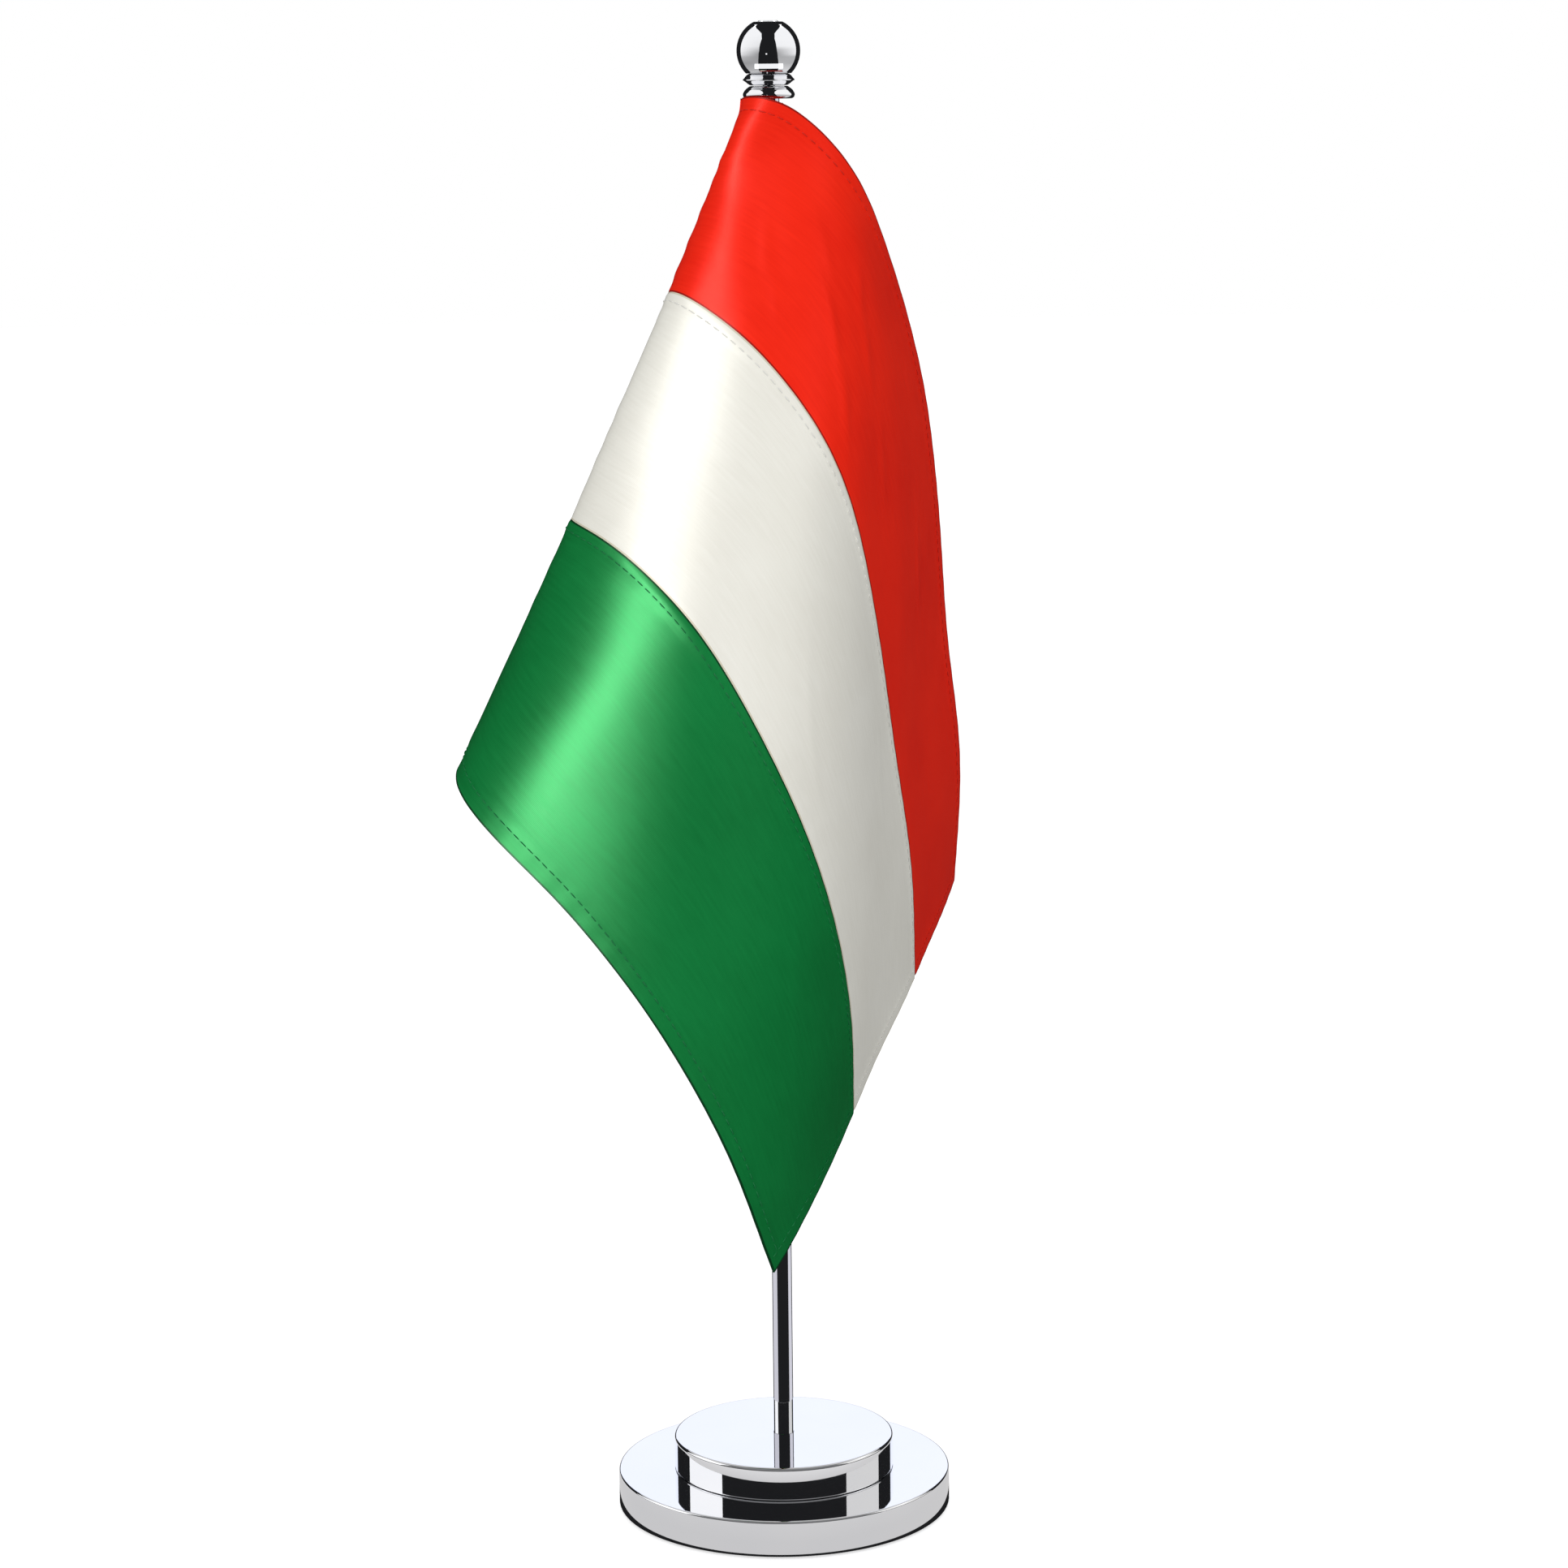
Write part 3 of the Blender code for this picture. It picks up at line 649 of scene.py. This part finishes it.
# Short wrinkles: (along, down, angle of the ridge, length, height).
WRINKLES = (
    (44, 20, 35, 7, 0.26), (50, 27, 28, 9, 0.34), (56, 19, 40, 6, 0.24), (60, 32, 30, 10, 0.32),
    (66, 24, 24, 7, 0.24), (47, 37, 42, 6, 0.22), (72, 38, 33, 8, 0.26), (38, 30, 50, 7, 0.2),
    (88, 30, 20, 9, 0.18), (120, 18, 12, 11, 0.16), (120, 82, 24, 14, 0.1), (150, 60, 15, 12, 0.1),
    (165, 112, 24, 14, 0.1),
)
WRINKLE_WIDTH = 1.3
HEM_WIDTH = 4.0
HEM_RISE = 0.1
HEM_SLOPE = 0.9
SEAM_WIDTH = 3.0
SEAM_RISE = 0.12
PUCKER = 0.02
PUCKER_PITCH = 6.5
PUCKER_REACH = 4
SLEEVE_MIDDLE = 2.72
SLEEVE_HEM_RISE = 0.07
TAIL_COLUMNS = 5
TAIL_GAP = 0.3
TANGENT = 134
SLEEVE_STEPS = 37
STITCH_PITCH = 2.2
STITCH_LENGTH = 1.7
THREAD_RADIUS = 0.13
STITCH_INSET = 3.0
SLEEVE_STITCH = 2.6
SEAM_STITCH = 2.0
FIRST_STITCH = 6.0
THREAD_SIDES = 6
# Along one stitch: (place from -1 to 1, share of the thread's radius, height above the cloth).
STITCH_SHAPE = ((-1.0, 0.35, -0.12), (-0.7, 0.9, 0.03), (0.0, 1.0, 0.08), (0.7, 0.9, 0.03), (1.0, 0.35, -0.12))


def ramp(value, start, end):
    """0 before start, 1 after end and smooth between them."""
    t = np.clip((value - start) / (end - start), 0, 1)
    return t * t * (3 - 2 * t)


def creased(net):
    """Adds the fan of soft folds, the broad folds, the wrinkles and the puckers along the hems and seams."""
    down = np.linspace(0, HOIST, net.shape[0])[:, None]
    across = np.linspace(0, FLY, net.shape[1])[None, :]
    reach = np.hypot(across, down)
    turn = np.arctan2(down + 2, across + 2)
    height = sum(tall * np.sin(count * turn + phase) for count, phase, tall in FAN) * ramp(reach, 15, 120)
    narrow = [(*place, WRINKLE_WIDTH, tall) for *place, tall in WRINKLES]
    for along, at, angle, length, wide, tall in (*FOLDS, *narrow):
        c, d = math.cos(math.radians(angle)), math.sin(math.radians(angle))
        lengthwise = (across - along) * c + (down - at) * d
        sideways = (down - at) * c - (across - along) * d + 0.006 * lengthwise**2
        height = height + tall * np.exp(-((sideways / wide) ** 2) - (lengthwise / length) ** 2)
    for gap, where, phase in (
        (down, across, 0.3), (HOIST - down, across, 1.9), (FLY - across, down, 4.1),
        (np.abs(down - HOIST / 3), across, 2.6), (np.abs(down - 2 * HOIST / 3), across, 5.2),
    ):
        wander = np.sin(math.tau * where / PUCKER_PITCH + phase + 1.3 * np.sin(where / 17 + phase))
        height = height + PUCKER * wander * np.exp(-((gap / PUCKER_REACH) ** 2))
    return net + normals_of(net) * (height * ramp(across, 6, 22))[..., None]


def hem_rise(down, across):
    """How far the doubled cloth of the hems and seams stands out on each side."""
    edge = np.minimum(np.minimum(down, HOIST - down), FLY - across)
    rise = HEM_RISE * (1 - ramp(edge, HEM_WIDTH - HEM_SLOPE, HEM_WIDTH))
    for seam in (HOIST / 3, 2 * HOIST / 3):
        below = down - seam
        share = ramp(below, 0.1, 0.8) * (1 - ramp(below, SEAM_WIDTH - HEM_SLOPE, SEAM_WIDTH))
        rise = np.maximum(rise, SEAM_RISE * share)
    return rise


def shell(name, middle, half, across, down, material):
    """A thin closed sheet round a grid of points, with a UV map of its flat size in metres."""
    out = normals_of(middle) * half[..., None]
    tall, wide = middle.shape[:2]
    points = np.concatenate([(middle + out).reshape(-1, 3), (middle - out).reshape(-1, 3)]) * MM
    index = np.arange(tall * wide).reshape(tall, wide)
    a, b, c, d = index[:-1, :-1], index[:-1, 1:], index[1:, 1:], index[1:, :-1]
    quads = np.stack([a, d, c, b], axis=-1).reshape(-1, 4)
    under = tall * wide
    faces = [quads, quads[:, ::-1] + under]
    for line in (index[0], index[:, -1], index[-1, ::-1], index[::-1, 0]):
        faces.append(np.stack([line[:-1], line[1:], line[1:] + under, line[:-1] + under], axis=-1))
    faces = np.concatenate(faces)
    mesh = bpy.data.meshes.new(name)
    mesh.from_pydata(points.tolist(), [], faces.tolist())
    mesh.update()
    flat = np.stack(np.broadcast_arrays(across, -down), axis=-1).reshape(-1, 2) * MM
    flat = np.tile(flat, (2, 1))
    layer = mesh.uv_layers.new(name="flat_cloth")
    layer.data.foreach_set("uv", flat[faces.reshape(-1)].astype(np.float32).reshape(-1))
    mesh.shade_smooth()
    mesh.set_sharp_from_angle(angle=math.radians(50))
    return link(name, mesh, material)


def field(name, first, last, material):
    """One colour of the flag, between two rows of the cloth. The cut edges at its seams are pressed thin."""
    down = np.linspace(0, HOIST, len(cloth))[first : last + 1, None]
    across = np.linspace(0, FLY, cloth.shape[1])[None, :]
    half = CLOTH / 2 + hem_rise(down, across)
    if first:
        half[0] = CLOTH / 5
    if last < len(cloth) - 1:
        half[-1] = CLOTH / 5
    return shell(name, cloth[first : last + 1], half, across, down, material)


def sleeve(name, first, last, material):
    """The sleeve's cloth at one colour: round the pole, with a tail sewn to each side of the field."""
    rows = slice(first, last + 1)
    down = np.linspace(0, HOIST, len(cloth))[rows]
    turns = np.radians(np.linspace(TANGENT, -TANGENT, SLEEVE_STEPS))
    loop = np.empty((len(down), len(turns), 3))
    loop[..., 0] = SLEEVE_MIDDLE * np.cos(turns)
    loop[..., 1] = SLEEVE_MIDDLE * np.sin(turns)
    loop[..., 2] = (SLEEVE_TOP - down)[:, None]
    tail = cloth[rows, 1 : TAIL_COLUMNS + 1]
    lift = facing[rows, 1 : TAIL_COLUMNS + 1] * TAIL_GAP
    middle = np.concatenate([(tail + lift)[:, ::-1], loop, tail - lift], axis=1)
    steps = np.linalg.norm(np.diff(middle[0], axis=0), axis=-1)
    across = np.concatenate([[0], np.cumsum(steps)])[None, :]
    edge = np.minimum(down, HOIST - down)[:, None]
    half = CLOTH / 2 + SLEEVE_HEM_RISE * (1 - ramp(edge, 2.2, 3.0))
    half = np.broadcast_to(half, middle.shape[:2])
    return shell(name, middle, half, across, down[:, None], material)


def sampled(net, down, across):
    """The net's values at distances down and across the flat cloth."""
    r = np.clip(np.asarray(down) / HOIST * (net.shape[0] - 1), 0, net.shape[0] - 1.001)
    c = np.clip(np.asarray(across) / FLY * (net.shape[1] - 1), 0, net.shape[1] - 1.001)
    i, j = r.astype(int), c.astype(int)
    s, t = (r - i)[:, None], (c - j)[:, None]
    upper = net[i, j] * (1 - t) + net[i, j + 1] * t
    return upper * (1 - s) + (net[i + 1, j] * (1 - t) + net[i + 1, j + 1] * t) * s


def stitch_line(start, end, lift):
    """Places for one line of stitches between two points of the flat cloth, each with its lift off the middle."""
    (along, down), (along_end, down_end) = start, end
    count = int(math.hypot(along_end - along, down_end - down) / STITCH_PITCH)
    share = (np.arange(count) + 0.5) / count
    along_at = along + (along_end - along) * share
    down_at = down + (down_end - down) * share
    return np.stack([along_at, down_at, np.full(count, lift)], axis=1)


def stitches(name, lines, material):
    """Every stitch of one colour, on both faces of the cloth: a bead of thread that dips in at both ends.

    Each item of lines is the places of one line of stitches and 1 where it runs down the hoist, 0 along the fly.
    """
    places = np.concatenate([np.column_stack([line, np.full(len(line), side)]) for line, side in lines])
    along, down, lift, upright = places.T
    middle = sampled(cloth, down, along)
    out = sampled(facing, down, along)
    hoistwise = upright[:, None] > 0
    ahead = np.where(hoistwise, sampled(cloth, down + 1, along), sampled(cloth, down, along + 1))
    way = ahead - np.where(hoistwise, sampled(cloth, down - 1, along), sampled(cloth, down, along - 1))
    way /= np.linalg.norm(way, axis=-1, keepdims=True)
    side = np.cross(out, way)
    sides = THREAD_SIDES
    spin = np.arange(sides) * math.tau / sides
    points = []
    for face in (1, -1):
        for step, round_share, raised in STITCH_SHAPE:
            centre = middle + way * step * STITCH_LENGTH / 2 + out * face * (lift + raised)[:, None]
            for turn in spin:
                ring = math.cos(turn) * side + math.sin(turn) * out
                points.append(centre + ring * THREAD_RADIUS * round_share)
    count = len(places)
    rings = len(STITCH_SHAPE)
    size = rings * sides
    points = np.array(points).reshape(2, rings, sides, count, 3).transpose(0, 3, 1, 2, 4).reshape(-1, 3)
    one = []
    for ring in range(rings - 1):
        for k in range(sides):
            a, b = ring * sides + k, ring * sides + (k + 1) % sides
            one.append((a, a + sides, b + sides, b))
    caps = [tuple(range(sides)), tuple(range(size - 1, size - 1 - sides, -1))]
    quads = (np.array(one)[None] + np.arange(2 * count)[:, None, None] * size).reshape(-1, 4).tolist()
    ends = [tuple(corner + k * size for corner in cap) for k in range(2 * count) for cap in caps]
    mesh = bpy.data.meshes.new(name)
    mesh.from_pydata((points * MM).tolist(), [], quads + ends)
    bm = bmesh.new()
    bm.from_mesh(mesh)
    bmesh.ops.recalc_face_normals(bm, faces=bm.faces)
    bm.to_mesh(mesh)
    bm.free()
    mesh.shade_smooth()
    return link(name, mesh, material)


rows = 3 * round(HOIST / GRID_STEP / 3) + 1
columns = round(FLY / GRID_STEP) + 1
net = draped_net(rows, columns)
net = straightened(relaxed(net, RELAX_ROUNDS))
net = straightened(relaxed(net, SETTLE_ROUNDS))
cloth = creased(refined(net, REFINE))
facing = normals_of(cloth)

HEM_LIFT = CLOTH / 2 + HEM_RISE
SEAM_LIFT = CLOTH / 2 + SEAM_RISE
TAIL_LIFT = TAIL_GAP + CLOTH / 2
STRIPE = HOIST / 3
third = (len(cloth) - 1) // 3
for number, (colour, material, thread) in enumerate(
    (("red", RED, RED_THREAD), ("white", WHITE, WHITE_THREAD), ("green", GREEN, GREEN_THREAD))
):
    top = number * STRIPE
    bottom = top + STRIPE
    piece = field(f"{colour}_field", number * third, (number + 1) * third, material)
    tube = sleeve(f"{colour}_sleeve", number * third, (number + 1) * third, material)
    fly = FLY - STITCH_INSET
    lines = [
        (stitch_line((fly, top + 1), (fly, bottom - 1), HEM_LIFT), 1),
        (stitch_line((SLEEVE_STITCH, top + 1), (SLEEVE_STITCH, bottom - 1), TAIL_LIFT), 1),
    ]
    if number == 0:
        lines.append((stitch_line((FIRST_STITCH, STITCH_INSET), (fly, STITCH_INSET), HEM_LIFT), 0))
    else:
        seam = top + SEAM_STITCH
        lines.append((stitch_line((FIRST_STITCH, seam), (FLY - HEM_WIDTH, seam), SEAM_LIFT), 0))
    if number == 2:
        hem = HOIST - STITCH_INSET
        lines.append((stitch_line((FIRST_STITCH, hem), (fly, hem), HEM_LIFT), 0))
    sewing = stitches(f"{colour}_stitches", lines, thread)
    stands_for(piece, "flag", f"flag_{colour}_strip")
    stands_for(tube, "flag", "flag_sleeve")
    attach(sewing, "flag")


# ---------------------------------------------------------------- studio
def receivers(name, objects):
    """A collection of the objects that a light or card is meant for."""
    group = bpy.data.collections.new(name)
    for piece in objects:
        group.objects.link(piece)
    return group


def strip_faces(rows, steps):
    """The quads of a grid of points with steps spaces across each of its rows."""
    faces = []
    for row in range(rows - 1):
        for k in range(steps):
            a = row * (steps + 1) + k
            faces.append((a, a + 1, a + steps + 2, a + steps + 1))
    return faces


def card(name, rows, group, centre, distance, tint=(1.0, 1.0, 1.0)):
    """A bright studio card that only mirrors see.

    Each row is (elevation, azimuth from, azimuth to, brightness), with the angles in degrees.
    """
    steps = 24
    points = []
    levels = []
    for elevation, start, end, level in rows:
        for k in range(steps + 1):
            turn = math.radians(start + (end - start) * k / steps)
            rise = math.radians(elevation)
            flat = math.cos(rise)
            way = Vector((math.sin(turn) * flat, -math.cos(turn) * flat, math.sin(rise)))
            points.append(Vector(centre) * MM + way * distance)
            levels.append(level)
    return card_object(name, points, strip_faces(len(rows), steps), levels, group, tint)


def card_object(name, points, faces, levels, group, tint):
    mesh = bpy.data.meshes.new(name)
    mesh.from_pydata(points, [], faces)
    layer = mesh.color_attributes.new(name="level", type="FLOAT_COLOR", domain="POINT")
    for item, level in zip(layer.data, levels):
        item.color = (level * tint[0], level * tint[1], level * tint[2], 1.0)
    made = bpy.data.materials.new(name)
    made.use_nodes = True
    tree = made.node_tree
    tree.nodes.clear()
    glow = tree.nodes.new("ShaderNodeEmission")
    level = tree.nodes.new("ShaderNodeVertexColor")
    level.layer_name = "level"
    clear = tree.nodes.new("ShaderNodeBsdfTransparent")
    both = tree.nodes.new("ShaderNodeAddShader")
    out = tree.nodes.new("ShaderNodeOutputMaterial")
    tree.links.new(level.outputs["Color"], glow.inputs["Color"])
    tree.links.new(glow.outputs["Emission"], both.inputs[0])
    tree.links.new(clear.outputs["BSDF"], both.inputs[1])
    tree.links.new(both.outputs["Shader"], out.inputs["Surface"])
    piece = link(name, mesh, made)
    piece.visible_camera = False
    piece.visible_diffuse = False
    piece.visible_shadow = False
    piece.visible_transmission = False
    piece.light_linking.receiver_collection = group
    return piece


def seen_in_ball(across, up):
    """The direction that a point on the ball mirrors, for a point given as a share of its radius."""
    depth = math.sqrt(max(0.0, 1 - across**2 - up**2))
    return Vector((2 * depth * across, 1 - 2 * depth**2, 2 * depth * up))


def ball_card(name, rows, group, distance):
    """A card given by where it shows on the ball: rows of (up, across from, across to, brightness at each)."""
    steps = 16
    points = []
    levels = []
    for up, start, end, level, level_end in rows:
        for k in range(steps + 1):
            way = seen_in_ball(start + (end - start) * k / steps, up)
            points.append(Vector((0, 0, BALL_CENTRE * MM)) + way * distance)
            levels.append(level + (level_end - level) * k / steps)
    return card_object(name, points, strip_faces(len(rows), steps), levels, group, (1.0, 1.0, 1.0))


FINIAL = ("chrome_lower_collar", "chrome_upper_collar", "chrome_ball", "chrome_button")
finial_group = receivers("finial_mirrors", [o for o in bpy.data.objects if o.name in FINIAL])
button_group = receivers("button_mirror", [bpy.data.objects["chrome_button"]])
pole_group = receivers("pole_mirror", [pole])
base_group = receivers("base_mirrors", [base_shell, tier_shell])
SEWN = ("_field", "_sleeve", "_stitches")
cloth_group = receivers("cloth", [o for o in bpy.data.objects if o.name.endswith(SEWN)])

# How far out on the ball, as a share of its radius, its cards reach.
RIM = 0.865


def rim_at(up):
    """How far across the cards reach at one height on the ball."""
    return math.sqrt(max(0.0, RIM**2 - up**2))


# Rows of (up, inner edge, brightness at the inner edge, brightness at the rim).
RIGHT_ROWS = (
    (0.80, 0.42, 1.0, 1.0), (0.68, 0.34, 1.0, 1.0), (0.52, 0.20, 1.0, 1.0), (0.36, 0.20, 1.0, 1.0),
    (0.14, 0.25, 0.95, 1.0), (0.02, 0.265, 0.5, 0.95), (-0.11, 0.285, 0.38, 0.9), (-0.2, 0.29, 0.42, 0.5),
    (-0.385, 0.31, 0.5, 0.45), (-0.6, 0.3, 0.7, 0.7), (-0.75, 0.2, 0.9, 0.9),
)
LEFT_ROWS = (
    (0.80, -0.42, 1.0, 1.0), (0.68, -0.36, 1.0, 1.0), (0.52, -0.205, 1.0, 1.0), (0.36, -0.2, 0.95, 1.0),
    (0.14, -0.27, 0.85, 1.0), (0.0, -0.285, 0.5, 0.95), (-0.11, -0.307, 0.34, 0.8), (-0.2, -0.31, 0.33, 0.5),
    (-0.385, -0.318, 0.38, 0.33), (-0.6, -0.3, 0.5, 0.45), (-0.75, -0.2, 0.8, 0.8),
)


def to_rim(rows, side):
    """The rows with their outer edge put at the rim, on the right for side 1 and on the left for side -1."""
    return [(up, inner, side * rim_at(up), level, outer) for up, inner, level, outer in rows]


LOW_ROWS = [(-0.40, -0.43, 0.45, 1.0, 1.0), (-0.55, -0.43, 0.45, 1.0, 1.0)]
SPARKLE_ROWS = [(-0.08, -0.085, -0.04, 1.0, 1.0), (-0.125, -0.085, -0.04, 1.0, 1.0)]
ball_card("finial_card_right", to_rim(RIGHT_ROWS, 1), finial_group, 1.6)
ball_card("finial_card_left", to_rim(LEFT_ROWS, -1), finial_group, 1.6)
ball_card("finial_card_low", LOW_ROWS, finial_group, 0.3)
ball_card("finial_sparkle", SPARKLE_ROWS, finial_group, 0.5)
card("button_card", [(20, 60, 300, 0.8), (55, 60, 300, 0.8), (89, 0, 360, 0.8)], button_group, (0, 0, 318), 0.4)

POLE_TINT = (0.86, 0.85, 0.93)
for name, start, end, level in (("pole_card_right", 77, 134, 0.8), ("pole_card_left", -134, -59, 0.75)):
    card(name, [(-40, start, end, level), (40, start, end, level)], pole_group, (0, 0, 60), 0.5, POLE_TINT)

WHITE_TINT = (1.0, 1.0, 1.0)
for name, rows, tint in (
    ("base_card_right", [(4, 67, 116, 0.75), (45, 67, 116, 0.75)], (1, 0.99, 0.97)),
    ("base_card_left", [(4, -116, -67, 1.1), (45, -116, -67, 1.1)], WHITE_TINT),
    ("base_card_back", [(9, 150, 210, 1.0), (32, 150, 210, 1.0)], (0.98, 1.02, 1.15)),
    ("base_card_high", [(33, 95, 265, 0.6), (60, 95, 265, 0.6), (89, 95, 265, 0.5)], WHITE_TINT),
    ("base_card_above", [(23, -95, 95, 0.2), (60, -95, 95, 0.2), (89, -95, 95, 0.4)], WHITE_TINT),
    ("base_card_front", [(3, -66, 66, 0.2), (17, -66, 66, 0.2)], WHITE_TINT),
):
    card(name, rows, base_group, (0, 0, 12), 0.5, tint)


def floor_card():
    """The lit floor close round the base, as its side mirrors it."""
    sides = 96
    points = []
    levels = []
    # The card begins a little out from the base, and its rings nearest the base are dimmer: painted shade of the
    # floor round the base, seen in the base's side.
    radii = ((0.0380, 0.62), (0.045, 0.62), (0.058, 0.66), (0.070, 0.85), (0.110, 0.85))
    for radius, level in radii:
        for k in range(sides):
            turn = math.tau * k / sides
            points.append((radius * math.cos(turn), radius * math.sin(turn), 0.0002))
            levels.append(level)
    faces = []
    for ring in range(len(radii) - 1):
        for k in range(sides):
            a = ring * sides + k
            b = ring * sides + (k + 1) % sides
            faces.append((a, b, b + sides, a + sides))
    card_object("floor_card", points, faces, levels, base_group, (1.0, 0.99, 0.99))


floor_card()


def floor():
    mesh = bpy.data.meshes.new("floor")
    mesh.from_pydata([(-4, -4, 0), (4, -4, 0), (4, 4, 0), (-4, 4, 0)], [], [(0, 1, 2, 3)])
    made, tree, shader = new_material("pale_floor")
    shader.inputs["Base Color"].default_value = (0.93, 0.93, 0.93, 1.0)
    shader.inputs["Roughness"].default_value = 0.9
    shader.inputs["Specular IOR Level"].default_value = 0.0
    shader.inputs["Emission Color"].default_value = (1.0, 1.0, 1.0, 1.0)
    shader.inputs["Emission Strength"].default_value = 0.65
    piece = link("floor", mesh, made)
    piece.visible_glossy = False
    piece.visible_diffuse = False


floor()


def world():
    """White to the camera, soft white light on the cloth and the floor, and dark where the chrome looks."""
    made = bpy.data.worlds.new("studio")
    bpy.context.scene.world = made
    made.use_nodes = True
    tree = made.node_tree
    tree.nodes.clear()
    path = tree.nodes.new("ShaderNodeLightPath")
    soft = add(tree, "ShaderNodeBackground", Color=(0.97, 0.98, 1.0, 1.0), Strength=0.58)
    white = add(tree, "ShaderNodeBackground", Color=(1, 1, 1, 1), Strength=1.0)
    dark = add(tree, "ShaderNodeBackground", Color=(0.9, 0.92, 1.0, 1.0), Strength=0.015)
    first = tree.nodes.new("ShaderNodeMixShader")
    second = tree.nodes.new("ShaderNodeMixShader")
    out = tree.nodes.new("ShaderNodeOutputWorld")
    tree.links.new(path.outputs["Is Glossy Ray"], first.inputs[0])
    tree.links.new(soft.outputs[0], first.inputs[1])
    tree.links.new(dark.outputs[0], first.inputs[2])
    tree.links.new(path.outputs["Is Camera Ray"], second.inputs[0])
    tree.links.new(first.outputs[0], second.inputs[1])
    tree.links.new(white.outputs[0], second.inputs[2])
    tree.links.new(second.outputs[0], out.inputs["Surface"])


world()


def area_light(name, place, aim, size, power, group):
    data = bpy.data.lights.new(name, "AREA")
    data.shape = "RECTANGLE"
    data.size, data.size_y = size
    data.energy = power
    lamp = bpy.data.objects.new(name, data)
    bpy.context.scene.collection.objects.link(lamp)
    lamp.location = place
    lamp.rotation_euler = (Vector(aim) - Vector(place)).to_track_quat("-Z", "Y").to_euler()
    lamp.visible_camera = False
    lamp.light_linking.receiver_collection = group
    return lamp


area_light("key", (-0.50, -1.02, 0.66), (-0.01, 0, 0.19), (0.22, 0.9), 8.0, cloth_group)
fill = area_light("fill", (1.0, -0.8, 0.5), (0, 0, 0.19), (0.8, 0.8), 5.0, cloth_group)
fill.visible_glossy = False
